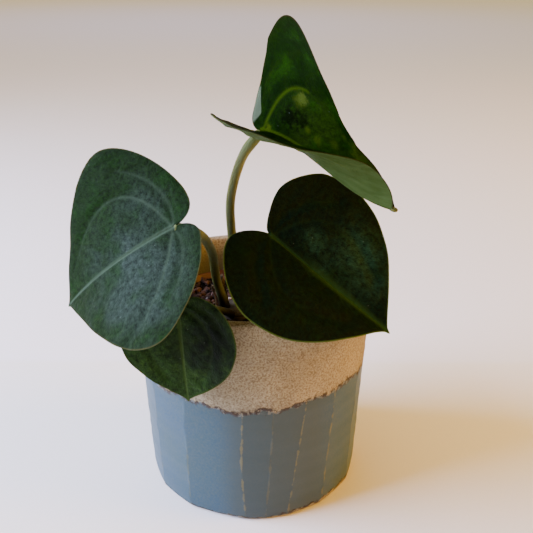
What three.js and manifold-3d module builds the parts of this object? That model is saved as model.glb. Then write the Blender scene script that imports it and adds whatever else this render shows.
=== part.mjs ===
// A young heart-leaf anthurium in its nursery pot, standing inside a faceted stoneware cover pot.
// Millimetres, +Z up, -Y towards the viewer. The origin is the middle of the cover pot's underside.

import * as THREE from "three";
import { mergeVertices } from "three/addons/utils/BufferGeometryUtils.js";
import Module from "manifold-3d";

const wasm = await Module();
wasm.setup();

const { degToRad, smoothstep, lerp } = THREE.MathUtils;

// Clearance between pieces that touch on the real plant.
const GAP = 0.3;

// Cover pot: a thrown cylinder that widens upwards, its lower part shaved into upright facets.
const POT_HEIGHT = 97;
const POT_RIM_RADIUS = 52.5;
const POT_BASE_RADIUS = 47.4;
const POT_WALL = 3.8;
const POT_FLOOR = 5;
const POT_FOOT_BEVEL = 2.8;
const POT_INSIDE_CORNER = 6;
const FACETS_FADE_FROM = 54;
const FACETS_FADE_TO = 60;
const FACET_CREST = 0.35;
// How far a facet goes from the round wall towards a true flat.
const FACET_FLATNESS = 0.55;
const COLUMNS_A_FACET = 4;
// Where the crests between facets stand, in degrees from the front towards +X, round the pot.
const CRESTS = [-58, -34, -4.5, 10, 23, 42.5, 64, 87, 108, 126, 149, 171, 190, 213, 236, 258, 280];

// Nursery pot: thin moulded plastic with a turned-out rim and holes in its floor.
const NURSERY_TOP = 81;
const NURSERY_RIM_RADIUS = 45;
const NURSERY_RIM_DEPTH = 6;
const NURSERY_MOUTH_RADIUS = 43.4;
const NURSERY_BASE_RADIUS = 33;
const NURSERY_WALL = 1.2;
const DRAIN_HOLES = 6;
const DRAIN_HOLE_RADIUS = 4;
const DRAIN_CIRCLE_RADIUS = 21;

// Potting mix, heaped a little round the plant, with a plain hole that the crown stands in.
const MIX_LEVEL = 78.6;
const MIX_ROUGHNESS = 1.1;
const CROWN_HOLE_RADIUS = 11;
const CROWN_HOLE_FLOOR = 69;

// Crown: the short thick stem that every leaf stalk grows from.
const CROWN_X = -7;
const CROWN_Y = -4.5;
const CROWN_RADIUS = 8.4;
const CROWN_TOP = 84.5;
const STALK_FOOT = 76;
// A stalk narrows to this share of its radius where it meets the blade.
const STALK_END = 0.78;

// Leaf blades.
const BLADE_THICKNESS = 0.7;
const RIB_DEPTH = 0.8;
const VEIN_DIP = 0.7;
const VEIN_HALF_WIDTH = 0.045;
const MARGIN_COLUMNS = 28;
const RINGS = [0.14, 0.32, 0.52, 0.72, 0.88, 1];
const SINUS = 0.03;
const TIP_POINT = 0.018;
// A folded blade's halves stay at least this many degrees apart, and its fold is blunt outside.
const LEAST_OPENING = 20;
const BLUNTEST_MITRE = 1.7;

// The four leaves. joint is where the stalk meets the blade. heading, pitch and roll turn the blade:
// heading is the midrib's compass direction from +X towards +Y, pitch its rise, and roll lifts the
// blade's left side, seen from stalk to tip. outlines has one entry where both halves are alike, and
// is in lengths from joint to tip. Angles are in degrees: droop and sag bend the midrib, twist turns
// the blade about it, lobeDroop bends the two back lobes, fold lifts each half from the midrib and
// curl bends it between midrib and margin, both with what they gain towards the tip. In each pair
// the left half comes first. stalk lists the points that its leaf stalk passes, and stalkShort is
// how far below the joint it ends.
const LEAVES = [
  {
    name: "left",
    joint: [-29.7, -41.9, 132],
    heading: 176.5,
    pitch: -29.5,
    roll: -48,
    length: 64.3,
    outlines: [
      {
        half: 0.66, widest: 0.26, lobe: 0.16, spread: 0.12,
        taper: 0.13, flare: 0.155, shoulder: 0.26,
      },
    ],
    droop: 32,
    sag: 0,
    twist: 0,
    lobeDroop: [0, 24],
    fold: [5, 5],
    foldGain: [0, 0],
    curl: [7.5, 14.5],
    curlGain: [0, 0],
    stalkRadius: 1.85,
    stalkShort: 2.4,
    stalk: [
      [-11.5, -5, STALK_FOOT],
      [-12, -6, 80.5],
      [-13.7, -11, 90.5],
      [-15.2, -16, 99],
      [-15.8, -21.5, 108],
      [-16.2, -27.5, 117],
      [-18.9, -34.4, 125.6],
      [-22.7, -38.6, 129.6],
    ],
  },
  {
    name: "front",
    joint: [-27.4, -52.8, 104.4],
    heading: -60,
    pitch: -83.5,
    roll: 31,
    length: 42,
    outlines: [
      {
        half: 0.57, widest: 0.275, lobe: 0.11, spread: 0.2,
        taper: 0.15, flare: 0.165, shoulder: 0.4,
      },
    ],
    droop: 14,
    sag: 0,
    twist: 0,
    lobeDroop: [7, 8],
    fold: [23, -2],
    foldGain: [0, 0],
    curl: [5.5, 0.5],
    curlGain: [0, 0],
    stalkRadius: 1.5,
    stalkShort: 1.85,
    stalk: [
      [-8.3, -9.3, STALK_FOOT],
      [-9, -10.4, 80.5],
      [-13, -17, 88],
      [-18, -28, 95],
      [-22.7, -39.5, 100],
      [-25.7, -46.5, 102.5],
    ],
  },
  {
    name: "right",
    joint: [7.7, -25.7, 123],
    heading: -15,
    pitch: -37.5,
    roll: 14.5,
    length: 61.4,
    outlines: [
      {
        half: 0.66, widest: 0.21, lobe: 0.2, spread: 0.29,
        taper: 0.145, flare: 0.16, shoulder: 0.45,
      },
    ],
    droop: -2,
    sag: 0,
    twist: 0,
    lobeDroop: [-66, 6],
    fold: [39, 11.5],
    foldGain: [0, 0],
    curl: [-21, -37],
    curlGain: [0, 0],
    stalkRadius: 1.8,
    stalkShort: 1.7,
    stalk: [
      [-2.4, -6, STALK_FOOT],
      [-2.2, -6.4, 80.5],
      [-1.4, -8.5, 92],
      [0.7, -13.6, 104.4],
      [3.5, -19.8, 114.6],
    ],
  },
  {
    name: "top",
    joint: [3.4, -2.8, 160.7],
    heading: -48.3,
    pitch: 4.7,
    roll: 12.3,
    length: 71.1,
    outlines: [
      {
        half: 0.685, widest: 0.209, lobe: 0.1, spread: 0.1,
        taper: -0.02, flare: 0.291, shoulder: 0.293,
      },
      {
        half: 0.62, widest: 0.306, lobe: 0.074, spread: 0.091,
        taper: -0.1, flare: 0.289, shoulder: 0.21,
      },
    ],
    droop: 2.8,
    sag: 30.7,
    twist: -5.1,
    lobeDroop: [-80, 5.3],
    fold: [63.2, 43.4],
    foldGain: [16.1, 48.1],
    curl: [17.5, -34.6],
    curlGain: [131.6, -53.2],
    stalkRadius: 1.95,
    stalkShort: 3.85,
    stalk: [
      [-6, 0.3, STALK_FOOT],
      [-6.2, 0, 81],
      [-7.6, -0.8, 99],
      [-9.4, -2, 116],
      [-9.6, -3, 131],
      [-6.3, -4, 145],
      [-3.2, -3.7, 152],
      [0.3, -3.5, 156.6],
    ],
  },
];

// Dry papery scale leaves that once wrapped the buds, one each side of the left leaf's stalk.
const SCALE_LEAVES = [
  {
    name: "left",
    width: 4.2,
    path: [
      [-16.1, -5.2, 73],
      [-16.2, -5.9, 80],
      [-16.8, -8.5, 88],
      [-17.6, -12, 95.5],
    ],
  },
  {
    name: "right",
    width: 3.6,
    path: [
      [-12.4, 2.8, 73],
      [-12.7, 2.5, 82],
      [-13.4, -0.8, 90],
      [-13.9, -3.8, 97],
    ],
  },
];
const SCALE_LEAF_THICKNESS = 0.9;

// Colours, roughness and metalness of the finishes.
const FINISHES = {
  stoneware: new THREE.MeshStandardMaterial({ color: "#7d8a8c", roughness: 0.55, metalness: 0 }),
  plastic: new THREE.MeshStandardMaterial({ color: "#8e4630", roughness: 0.5, metalness: 0 }),
  mix: new THREE.MeshStandardMaterial({ color: "#3a2620", roughness: 0.95, metalness: 0 }),
  stalk: new THREE.MeshStandardMaterial({ color: "#6f7038", roughness: 0.5, metalness: 0 }),
  leftBlade: new THREE.MeshStandardMaterial({ color: "#35523f", roughness: 0.45, metalness: 0 }),
  frontBlade: new THREE.MeshStandardMaterial({ color: "#1f3a1c", roughness: 0.45, metalness: 0 }),
  rightBlade: new THREE.MeshStandardMaterial({ color: "#14241a", roughness: 0.5, metalness: 0 }),
  topBlade: new THREE.MeshStandardMaterial({ color: "#244a18", roughness: 0.5, metalness: 0 }),
  papery: new THREE.MeshStandardMaterial({ color: "#a8906c", roughness: 0.8, metalness: 0 }),
};

// A geometry with nothing but its corners, each of them once.
function bare(geometry) {
  const copy = geometry.clone();
  copy.deleteAttribute("normal");
  copy.deleteAttribute("uv");
  return mergeVertices(copy, 1e-3);
}

// A closed geometry as a solid that can be cut and joined.
function solidFrom(geometry) {
  const { attributes, index } = bare(geometry);
  return new wasm.Manifold(
    new wasm.Mesh({
      numProp: 3,
      vertProperties: attributes.position.array,
      triVerts: new Uint32Array(index.array),
    }),
  );
}

function geometryFrom(solid) {
  const mesh = solid.getMesh();
  const geometry = new THREE.BufferGeometry();
  geometry.setAttribute("position", new THREE.BufferAttribute(mesh.vertProperties, 3));
  geometry.setIndex(new THREE.BufferAttribute(mesh.triVerts, 1));
  return geometry;
}

function named(name, geometry, finish) {
  geometry.computeVertexNormals();
  const mesh = new THREE.Mesh(geometry, finish);
  mesh.name = name;
  return mesh;
}

// A profile of [radius, height] points turned once round the Z axis, angles counted from the front.
function turned(profile, columns) {
  const points = profile.map(([radius, height]) => new THREE.Vector2(radius, height));
  return new THREE.LatheGeometry(points, columns).rotateX(Math.PI / 2);
}

// Points on a quarter circle in a profile, from one angle to another, ends included.
function profileArc(x, z, radius, fromDegrees, toDegrees, steps) {
  return Array.from({ length: steps + 1 }, (_, i) => {
    const angle = degToRad(lerp(fromDegrees, toDegrees, i / steps));
    return [x + radius * Math.cos(angle), z + radius * Math.sin(angle)];
  });
}

function potRadius(z) {
  return lerp(POT_BASE_RADIUS, POT_RIM_RADIUS, z / POT_HEIGHT);
}

// How far round the pot a column stands: evenly spaced columns are drawn to the facets' crests.
function columnAngle(evenAngle) {
  const place = (((evenAngle / 360) % 1) + 1) % 1 * CRESTS.length;
  const facet = Math.floor(place + 1e-6) % CRESTS.length;
  const next = facet + 1 < CRESTS.length ? CRESTS[facet + 1] : CRESTS[0] + 360;
  const share = Math.max(place - Math.floor(place + 1e-6), 0);
  const half = (next - CRESTS[facet]) / 2;
  const angle = lerp(CRESTS[facet], next, share);
  const trueFlat = Math.cos(degToRad(half)) / Math.cos(degToRad(angle - CRESTS[facet] - half));
  return { angle: degToRad(angle), flat: lerp(1, trueFlat, FACET_FLATNESS) };
}

// The hand-made pot isn't quite round, and its rim rises and falls a little.
function wobble(angle) {
  return 0.35 * Math.sin(2 * angle + 0.8) + 0.2 * Math.sin(5 * angle + 2);
}

function coverPot() {
  const innerRadius = (z) => potRadius(z) - POT_WALL;
  const lip = POT_WALL / 2;
  const rimCentre = potRadius(POT_HEIGHT) - lip;
  const corner = innerRadius(POT_FLOOR) - POT_INSIDE_CORNER;
  const outside = [12, 26, 40, FACETS_FADE_FROM, FACETS_FADE_TO, 78].map((z) => [potRadius(z), z]);
  const profile = [
    [0, 0],
    ...profileArc(potRadius(0) - POT_FOOT_BEVEL, POT_FOOT_BEVEL, POT_FOOT_BEVEL, -90, 0, 3),
    ...outside,
    ...profileArc(rimCentre, POT_HEIGHT - lip, lip, 0, 180, 5),
    [innerRadius(60), 60],
    ...profileArc(corner, POT_FLOOR + POT_INSIDE_CORNER, POT_INSIDE_CORNER, 0, -90, 3),
    [0, POT_FLOOR],
  ];
  const geometry = turned(profile, CRESTS.length * COLUMNS_A_FACET);
  const position = geometry.attributes.position;
  const inside = potRadius(0) - POT_WALL - 0.1;
  for (let i = 0; i < position.count; i++) {
    const radius = Math.hypot(position.getX(i), position.getY(i));
    const z = position.getZ(i);
    const evenAngle = (Math.atan2(position.getX(i), -position.getY(i)) * 180) / Math.PI;
    const { angle, flat } = columnAngle(evenAngle);
    const isOuterFace = radius > inside && radius > innerRadius(z) + lip && z < FACETS_FADE_TO;
    const facetShare = isOuterFace ? 1 - smoothstep(z, FACETS_FADE_FROM, FACETS_FADE_TO) : 0;
    const facet = lerp(1, flat, facetShare) + (FACET_CREST / POT_BASE_RADIUS) * facetShare;
    const rise = smoothstep(z, POT_FLOOR + POT_INSIDE_CORNER, POT_HEIGHT);
    const out = radius * facet + (radius > inside ? wobble(angle) * rise : 0);
    position.setX(i, out * Math.sin(angle));
    position.setY(i, -out * Math.cos(angle));
    position.setZ(i, z + rise * 0.5 * Math.sin(3 * angle + 1) * smoothstep(z, 80, POT_HEIGHT));
  }
  return named("cover_pot", geometry, FINISHES.stoneware);
}

function nurseryPot() {
  const foot = POT_FLOOR + GAP;
  const shoulder = NURSERY_TOP - NURSERY_RIM_DEPTH;
  const underRim = NURSERY_MOUTH_RADIUS - 0.4;
  const shell = turned(
    [
      [0, foot],
      [NURSERY_BASE_RADIUS, foot],
      [underRim, shoulder],
      [NURSERY_RIM_RADIUS, shoulder + 0.4],
      [NURSERY_RIM_RADIUS, NURSERY_TOP - 0.4],
      [NURSERY_RIM_RADIUS - 0.4, NURSERY_TOP],
      [NURSERY_RIM_RADIUS - NURSERY_WALL, NURSERY_TOP],
      [underRim - NURSERY_WALL, shoulder],
      [NURSERY_BASE_RADIUS - NURSERY_WALL, foot + NURSERY_WALL],
      [0, foot + NURSERY_WALL],
    ],
    48,
  );
  let solid = solidFrom(shell);
  for (let i = 0; i < DRAIN_HOLES; i++) {
    const angle = (i * 2 * Math.PI) / DRAIN_HOLES;
    const hole = new THREE.CylinderGeometry(DRAIN_HOLE_RADIUS, DRAIN_HOLE_RADIUS, 4 * NURSERY_WALL, 12);
    hole.rotateX(Math.PI / 2);
    hole.translate(DRAIN_CIRCLE_RADIUS * Math.cos(angle), DRAIN_CIRCLE_RADIUS * Math.sin(angle), foot);
    solid = solid.subtract(solidFrom(hole));
  }
  return named("nursery_pot", geometryFrom(solid), FINISHES.plastic);
}

// A number between -1 and 1 that is the same each time for the same place, for the rough mix.
function roughAt(x, y) {
  return (
    Math.sin(x * 0.61 + 1.3 * Math.sin(y * 0.37)) * 0.5 +
    Math.sin(y * 0.74 + 1.7 * Math.sin(x * 0.29)) * 0.3 +
    Math.sin(x * 1.7 + y * 1.3) * 0.2
  );
}

function pottingMix(crown) {
  const floor = POT_FLOOR + 2 * GAP + NURSERY_WALL;
  const shoulder = NURSERY_TOP - NURSERY_RIM_DEPTH;
  const clear = NURSERY_WALL + GAP;
  const bottomRadius = NURSERY_BASE_RADIUS - clear;
  const shoulderRadius = NURSERY_MOUTH_RADIUS - 0.4 - clear;
  const topRings = [1, 0.86, 0.72, 0.58, 0.44, 0.28, 0.12, 0];
  const body = turned(
    [[0, floor], [bottomRadius, floor], [shoulderRadius, shoulder]].concat(
      topRings.map((share) => [share * (shoulderRadius + 0.2), MIX_LEVEL]),
    ),
    48,
  );
  const position = body.attributes.position;
  for (let i = 0; i < position.count; i++) {
    const radius = Math.hypot(position.getX(i), position.getY(i));
    if (position.getZ(i) < MIX_LEVEL - 0.01) continue;
    const edge = radius > shoulderRadius ? 0 : 1;
    const heap = 0.8 * (1 - radius / shoulderRadius);
    const rough = MIX_ROUGHNESS * roughAt(position.getX(i), position.getY(i));
    position.setZ(i, MIX_LEVEL + edge * (heap + rough));
  }
  const holeDepth = 2 * (NURSERY_TOP - CROWN_HOLE_FLOOR);
  const hole = new THREE.CylinderGeometry(CROWN_HOLE_RADIUS, CROWN_HOLE_RADIUS, holeDepth, 28);
  hole.rotateX(Math.PI / 2);
  hole.translate(CROWN_X, CROWN_Y, CROWN_HOLE_FLOOR + holeDepth / 2);
  return named("potting_mix", geometryFrom(solidFrom(body).subtract(solidFrom(hole))), FINISHES.mix);
}

// A closed tube along a smooth curve, with an oval section. size(share) gives the section's two
// radii at each share of the length, the first one pointing as nearly along faceWay as it can.
function tube(points, sides, steps, size, faceWay = new THREE.Vector3(1, 0, 0)) {
  const curve = new THREE.CatmullRomCurve3(points.map((p) => new THREE.Vector3(...p)), false, "centripetal");
  const geometry = bare(new THREE.CylinderGeometry(1, 1, 1, sides, steps));
  const position = geometry.attributes.position;
  for (let i = 0; i < position.count; i++) {
    const share = THREE.MathUtils.clamp(position.getY(i) + 0.5, 0, 1);
    const onward = curve.getTangentAt(share);
    const facing = faceWay.clone().addScaledVector(onward, -faceWay.dot(onward)).normalize();
    const sideways = new THREE.Vector3().crossVectors(onward, facing);
    const [deep, wide] = size(share);
    const place = curve
      .getPointAt(share)
      .addScaledVector(facing, deep * position.getZ(i))
      .addScaledVector(sideways, wide * position.getX(i));
    position.setXYZ(i, ...place.toArray());
  }
  return geometry;
}

// A leaf stalk: sheathed and thicker at its foot, with a slight knee where it meets the blade.
function stalkSize(leaf, extra = 0) {
  return (share) => {
    const sheath = 0.3 * (1 - smoothstep(share, 0, 0.3));
    const knee = 0.12 * smoothstep(share, 0.88, 0.95);
    const radius = leaf.stalkRadius * (share > 0.985 ? STALK_END : 1 + sheath + knee) + extra;
    return [radius, radius];
  };
}

// The stalk ends just short of the blade's underside, straight below the fold at the joint.
function stalkPoints(leaf) {
  const { out } = bendBlade(leaf, bladeTurn(leaf), 0, 0);
  const top = new THREE.Vector3(...leaf.joint).addScaledVector(out.normalize(), -leaf.stalkShort);
  return [...leaf.stalk, top.toArray()];
}

function stalk(leaf) {
  return named(`${leaf.name}_leaf_stalk`, tube(stalkPoints(leaf), 10, 22, stalkSize(leaf)), FINISHES.stalk);
}

// The three directions of a blade at its joint: along the midrib, to the left half, and out of it.
function bladeTurn(leaf) {
  const heading = degToRad(leaf.heading);
  const pitch = degToRad(leaf.pitch);
  const roll = degToRad(leaf.roll);
  const along = new THREE.Vector3(
    Math.cos(pitch) * Math.cos(heading),
    Math.cos(pitch) * Math.sin(heading),
    Math.sin(pitch),
  );
  const level = new THREE.Vector3(-Math.sin(heading), Math.cos(heading), 0);
  const square = new THREE.Vector3().crossVectors(along, level);
  const left = level.clone().multiplyScalar(Math.cos(roll)).addScaledVector(square, Math.sin(roll));
  const normal = square.clone().multiplyScalar(Math.cos(roll)).addScaledVector(level, -Math.sin(roll));
  return { along, left, normal };
}

function outlineOf(leaf, side) {
  return leaf.outlines[side] ?? leaf.outlines[0];
}

// One half of the heart, in lengths from joint to tip: tip to widest, round the lobe, to the sinus.
// It starts a little short of the tip, which the margin then draws out into a small point.
function heartHalf({ half, widest, lobe, spread, taper, flare, shoulder }) {
  const points = (...pairs) => pairs.map(([x, y]) => new THREE.Vector2(x, y));
  const path = new THREE.CurvePath();
  const body = 1 - TIP_POINT;
  path.add(
    new THREE.CubicBezierCurve(
      ...points([body, 0], [body - taper, flare], [widest + shoulder, half], [widest, half]),
    ),
  );
  path.add(
    new THREE.CubicBezierCurve(
      ...points([widest, half], [widest - 0.2, half], [-lobe, spread + 0.17], [-lobe, spread]),
    ),
  );
  path.add(
    new THREE.CubicBezierCurve(
      ...points([-lobe, spread], [-lobe, spread - 0.09], [-SINUS - 0.03, 0], [-SINUS, 0]),
    ),
  );
  return path;
}

// Main veins of one half, in lengths from joint to tip: a side vein that turns forward along the
// margin, and one through the lobe. The blade dips along them.
const SIDE_VEINS = [
  [0, 0, 0.08, 0.25, 0.25, 0.55, 0.72, 0.2],
  [0, 0, -0.07, 0.12, -0.02, 0.34, 0.2, 0.5],
].map((numbers) => {
  const ends = [0, 2, 4, 6].map((i) => new THREE.Vector2(numbers[i], numbers[i + 1]));
  return new THREE.CubicBezierCurve(...ends).getPoints(16);
});

function veinDip(x, y) {
  const here = new THREE.Vector2(x, Math.abs(y));
  const nearest = Math.min(...SIDE_VEINS.flat().map((point) => point.distanceTo(here)));
  return -VEIN_DIP * Math.exp(-((nearest / VEIN_HALF_WIDTH) ** 2));
}

function sinc(angle) {
  return Math.abs(angle) < 1e-8 ? 1 : Math.sin(angle) / angle;
}

// The midrib's slope and place at a share of its length, in the plane of its own bend.
function midribAt(leaf, share, lobeDroop) {
  const slopeAt = (s) =>
    s > 0 ? degToRad(leaf.droop * s + leaf.sag * Math.sin(Math.PI * s)) : degToRad(lobeDroop * s);
  const steps = 24;
  let forward = 0;
  let up = 0;
  for (let i = 0; i < steps; i++) {
    const slope = slopeAt(((i + 0.5) * share) / steps);
    forward += (Math.cos(slope) * share * leaf.length) / steps;
    up -= (Math.sin(slope) * share * leaf.length) / steps;
  }
  return { forward, up, slope: slopeAt(share) };
}

// How far each half of a blade is lifted at a share of the midrib, the left one giving way.
function foldsAt(leaf, share) {
  const [left, right] = leaf.fold.map((fold, s) => fold + leaf.foldGain[s] * share);
  const excess = Math.max(0, left + right - (180 - LEAST_OPENING));
  return [degToRad(left - excess), degToRad(right)];
}

// Where a point of the flat heart lies on the bent blade, and the way its thickness points there.
function bendBlade(leaf, turn, x, y) {
  const side = y >= 0 ? 0 : 1;
  const sign = side === 0 ? 1 : -1;
  const { forward, up, slope } = midribAt(leaf, x, leaf.lobeDroop[side]);
  const share = Math.max(x, -0.3);
  const folds = foldsAt(leaf, share);
  const curlShare = Math.abs(y) / outlineOf(leaf, side).half;
  const curl = degToRad(leaf.curl[side] + leaf.curlGain[side] * share) * curlShare;
  const chord = Math.abs(y) * leaf.length * sinc(curl / 2);
  const across = sign * chord * Math.cos(folds[side] + curl / 2);
  const lift = chord * Math.sin(folds[side] + curl / 2);
  const twist = degToRad(leaf.twist * x);
  const square = new THREE.Vector3()
    .addScaledVector(turn.along, Math.sin(slope))
    .addScaledVector(turn.normal, Math.cos(slope));
  const left = turn.left.clone().multiplyScalar(Math.cos(twist)).addScaledVector(square, Math.sin(twist));
  const risen = square.clone().multiplyScalar(Math.cos(twist)).addScaledVector(turn.left, -Math.sin(twist));
  const faceAt = (way, lean) =>
    risen.clone().multiplyScalar(Math.cos(lean)).addScaledVector(left, way * Math.sin(lean));
  const onMidrib = Math.abs(y) < 1e-6;
  const out = faceAt(-sign, folds[side] + curl);
  if (onMidrib) {
    // A mitred corner keeps the folded blade at its full thickness.
    out.add(faceAt(sign, folds[1 - side]));
    out.multiplyScalar(Math.min(2 / out.lengthSq(), BLUNTEST_MITRE / out.length()));
  }
  const place = new THREE.Vector3(...leaf.joint)
    .addScaledVector(turn.along, forward)
    .addScaledVector(turn.normal, up)
    .addScaledVector(left, across)
    .addScaledVector(risen, lift);
  return { place, out, onMidrib };
}

// A blade: rings of points round the joint, the same on both faces, closed round the margin.
function blade(leaf, finish) {
  const turn = bladeTurn(leaf);
  const [left, right] = [0, 1].map((side) =>
    heartHalf(outlineOf(leaf, side)).getSpacedPoints(MARGIN_COLUMNS),
  );
  const margin = [
    [1, 0],
    ...left.slice(1).map((p) => [p.x, p.y]),
    ...right.slice(1, -1).reverse().map((p) => [p.x, -p.y]),
  ];
  const flat = [[0, 0], ...RINGS.flatMap((ring) => margin.map(([x, y]) => [x * ring, y * ring]))];
  const upper = [];
  const lower = [];
  for (const [x, y] of flat) {
    const { place, out, onMidrib } = bendBlade(leaf, turn, x, y);
    const dip = onMidrib ? 0 : veinDip(x, y);
    const rib = onMidrib && x >= 0 ? RIB_DEPTH * (1 - 0.8 * x) : 0;
    upper.push(...place.clone().addScaledVector(out, BLADE_THICKNESS / 2 + dip).toArray());
    lower.push(...place.clone().addScaledVector(out, -BLADE_THICKNESS / 2 + dip - rib).toArray());
  }
  const faces = [];
  const count = flat.length;
  const around = margin.length;
  const both = (a, b, c) => faces.push(a, b, c, count + a, count + c, count + b);
  for (let j = 0; j < around; j++) {
    const next = (j + 1) % around;
    both(0, 1 + j, 1 + next);
    for (let i = 0; i < RINGS.length - 1; i++) {
      const inner = 1 + i * around;
      const outer = inner + around;
      both(inner + j, outer + j, outer + next);
      both(inner + j, outer + next, inner + next);
    }
    const edge = 1 + (RINGS.length - 1) * around;
    faces.push(edge + j, count + edge + j, count + edge + next);
    faces.push(edge + j, count + edge + next, edge + next);
  }
  const geometry = new THREE.BufferGeometry();
  geometry.setAttribute("position", new THREE.Float32BufferAttribute([...upper, ...lower], 3));
  geometry.setIndex(faces);
  return named(`${leaf.name}_leaf_blade`, geometry, finish);
}

// The crown: a ringed stub with a domed top and a socket for the foot of each stalk.
function crown() {
  const foot = CROWN_HOLE_FLOOR + GAP;
  const profile = [
    [0, foot],
    [CROWN_RADIUS - 1.2, foot],
    [CROWN_RADIUS, foot + 2.5],
    [CROWN_RADIUS - 0.5, foot + 5],
    [CROWN_RADIUS, foot + 7.5],
    [CROWN_RADIUS - 0.6, foot + 9.5],
    ...profileArc(0, CROWN_TOP - 5, CROWN_RADIUS - 0.4, 20, 90, 5).map(([r, z]) => [
      r,
      CROWN_TOP - 5 + (z - CROWN_TOP + 5) * 0.6,
    ]),
  ];
  profile[profile.length - 1][0] = 0;
  let solid = solidFrom(turned(profile, 24).translate(CROWN_X, CROWN_Y, 0));
  for (const leaf of LEAVES) {
    const points = stalkPoints(leaf);
    const [x, y, z] = points[0];
    const socket = [[x, y, z - GAP], ...points.slice(1)];
    solid = solid.subtract(solidFrom(tube(socket, 10, 22, stalkSize(leaf, GAP))));
  }
  return named("crown", geometryFrom(solid), FINISHES.stalk);
}

function scaleLeaf({ name, width, path }) {
  const size = (share) => [SCALE_LEAF_THICKNESS / 2, (width / 2) * Math.sqrt(1 - 0.93 * share)];
  const fromCrown = new THREE.Vector3(path[0][0] - CROWN_X, path[0][1] - CROWN_Y, 0).normalize();
  return named(`scale_leaf_${name}`, tube(path, 8, 8, size, fromCrown), FINISHES.papery);
}

const group = new THREE.Group();
group.add(coverPot(), nurseryPot(), pottingMix(), crown());
for (const leaf of LEAVES) {
  group.add(stalk(leaf), blade(leaf, FINISHES[`${leaf.name}Blade`]));
}
for (const scale of SCALE_LEAVES) {
  group.add(scaleLeaf(scale));
}

export default group;
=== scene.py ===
import math
import random

import bmesh
import bpy
import numpy as np
from mathutils import Matrix, Vector, noise


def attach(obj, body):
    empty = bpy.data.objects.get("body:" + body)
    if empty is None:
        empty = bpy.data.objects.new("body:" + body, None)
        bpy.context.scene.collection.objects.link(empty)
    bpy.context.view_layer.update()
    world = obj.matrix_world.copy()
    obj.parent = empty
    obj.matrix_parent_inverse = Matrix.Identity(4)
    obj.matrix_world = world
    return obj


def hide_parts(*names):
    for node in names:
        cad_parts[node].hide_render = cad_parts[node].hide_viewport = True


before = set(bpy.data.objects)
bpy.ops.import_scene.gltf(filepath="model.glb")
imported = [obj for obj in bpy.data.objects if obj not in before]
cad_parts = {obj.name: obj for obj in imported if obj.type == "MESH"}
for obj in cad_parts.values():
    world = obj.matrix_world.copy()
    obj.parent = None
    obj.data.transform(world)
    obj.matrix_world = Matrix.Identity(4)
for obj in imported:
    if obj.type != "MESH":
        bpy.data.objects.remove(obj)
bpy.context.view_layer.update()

# The looks of a young heart-leaf anthurium in its nursery pot inside a faceted stoneware cover pot.
# Shapes are made in millimetres, in the model's own frame, and scaled to metres when finished.

MM = 0.001

# Real measures, the same as the solid model's.

POT_HEIGHT = 97
POT_RIM_RADIUS = 52.5
POT_BASE_RADIUS = 47.4
POT_WALL = 3.8
POT_FLOOR = 5
POT_FOOT_BEVEL = 2.8
POT_INSIDE_CORNER = 6
FACETS_FADE_FROM = 54
FACETS_FADE_TO = 60
FACET_CREST = 0.35
FACET_FLATNESS = 0.55
COLUMNS_A_FACET = 16
# The heights that each crest is given for: near the foot, halfway and at the glaze border.
CREST_HEIGHTS = [4, 30, 57]
# Each crest between two facets: degrees from the front at the glaze border, at half that height
# and at the foot, then how plainly the clay shows through the glaze along it.
CRESTS = [
    (-58, -58.5, -58, 0.35),
    (-34, -34.5, -35, 0.5),
    (-4.2, -5.2, -3.6, 1.0),
    (10, 9, 7.2, 0.4),
    (25.9, 22.4, 19, 0.95),
    (43.1, 41.4, 39.7, 1.0),
    (64, 63, 64, 0.7),
    (87, 88, 86, 0.5),
    (108, 107, 109, 0.9),
    (126, 127, 126, 0.4),
    (149, 148, 150, 0.8),
    (171, 172, 170, 0.6),
    (190, 190, 191, 0.9),
    (213, 212, 213, 0.5),
    (236, 237, 235, 0.8),
    (258, 257, 258, 0.6),
    (280, 281, 280, 0.7),
]
# The clay line of the second crest dies out between two heights.
FADING_CREST = 1
CREST_FADES_FROM = 28
CREST_GONE_AT = 38
# Where the glaze ends: degrees from the front, and height.
GLAZE_BORDER = [
    (-180, 57.6), (-165, 58.6), (-150, 57.2), (-132, 58.4), (-115, 57.1), (-96, 58.8), (-80, 57.6),
    (-62, 58.2), (-46.8, 57.2), (-38.6, 58.9), (-31.8, 58.4), (-24.6, 58.6), (-14.7, 56.7),
    (-7.7, 55.8), (-4, 56.1), (3.8, 57.8), (11.2, 56.6), (15.4, 56.7), (22.7, 58.8), (25.8, 59.1),
    (33.5, 59.4), (42.3, 59.1), (50.4, 60.6), (70.7, 58.5), (88, 57.4), (104, 58.9), (121, 57.8),
    (140, 58.7), (158, 57.1), (180, 57.6),
]

NURSERY_TOP = 81
NURSERY_MOUTH_RADIUS = 43.4
NURSERY_BASE_RADIUS = 33
NURSERY_WALL = 1.2
NURSERY_RIM_DEPTH = 6
NURSERY_SHOULDER_STEP = 0.4
GAP = 0.3

MIX_LEVEL = 78.6
CROWN_X = -7
CROWN_Y = -4.5
CROWN_RADIUS = 8.4
CROWN_TOP = 84.5
CROWN_FOOT = 69.3
CROWN_LUMPY_FROM = 79
STALK_FOOT = 76

MIX_FLOOR = POT_FLOOR + 2 * GAP + NURSERY_WALL
MIX_SHOULDER = NURSERY_TOP - NURSERY_RIM_DEPTH
MIX_RADIUS = NURSERY_MOUTH_RADIUS - NURSERY_SHOULDER_STEP - NURSERY_WALL - GAP
PIT_RADIUS = CROWN_RADIUS + 0.35
PIT_WAIST = 74
PIT_FLOOR = CROWN_FOOT - 0.2
# Loose bits are drawn within a reach each way, and kept where they lie on the mix.
MIX_REACH = 41
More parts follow.
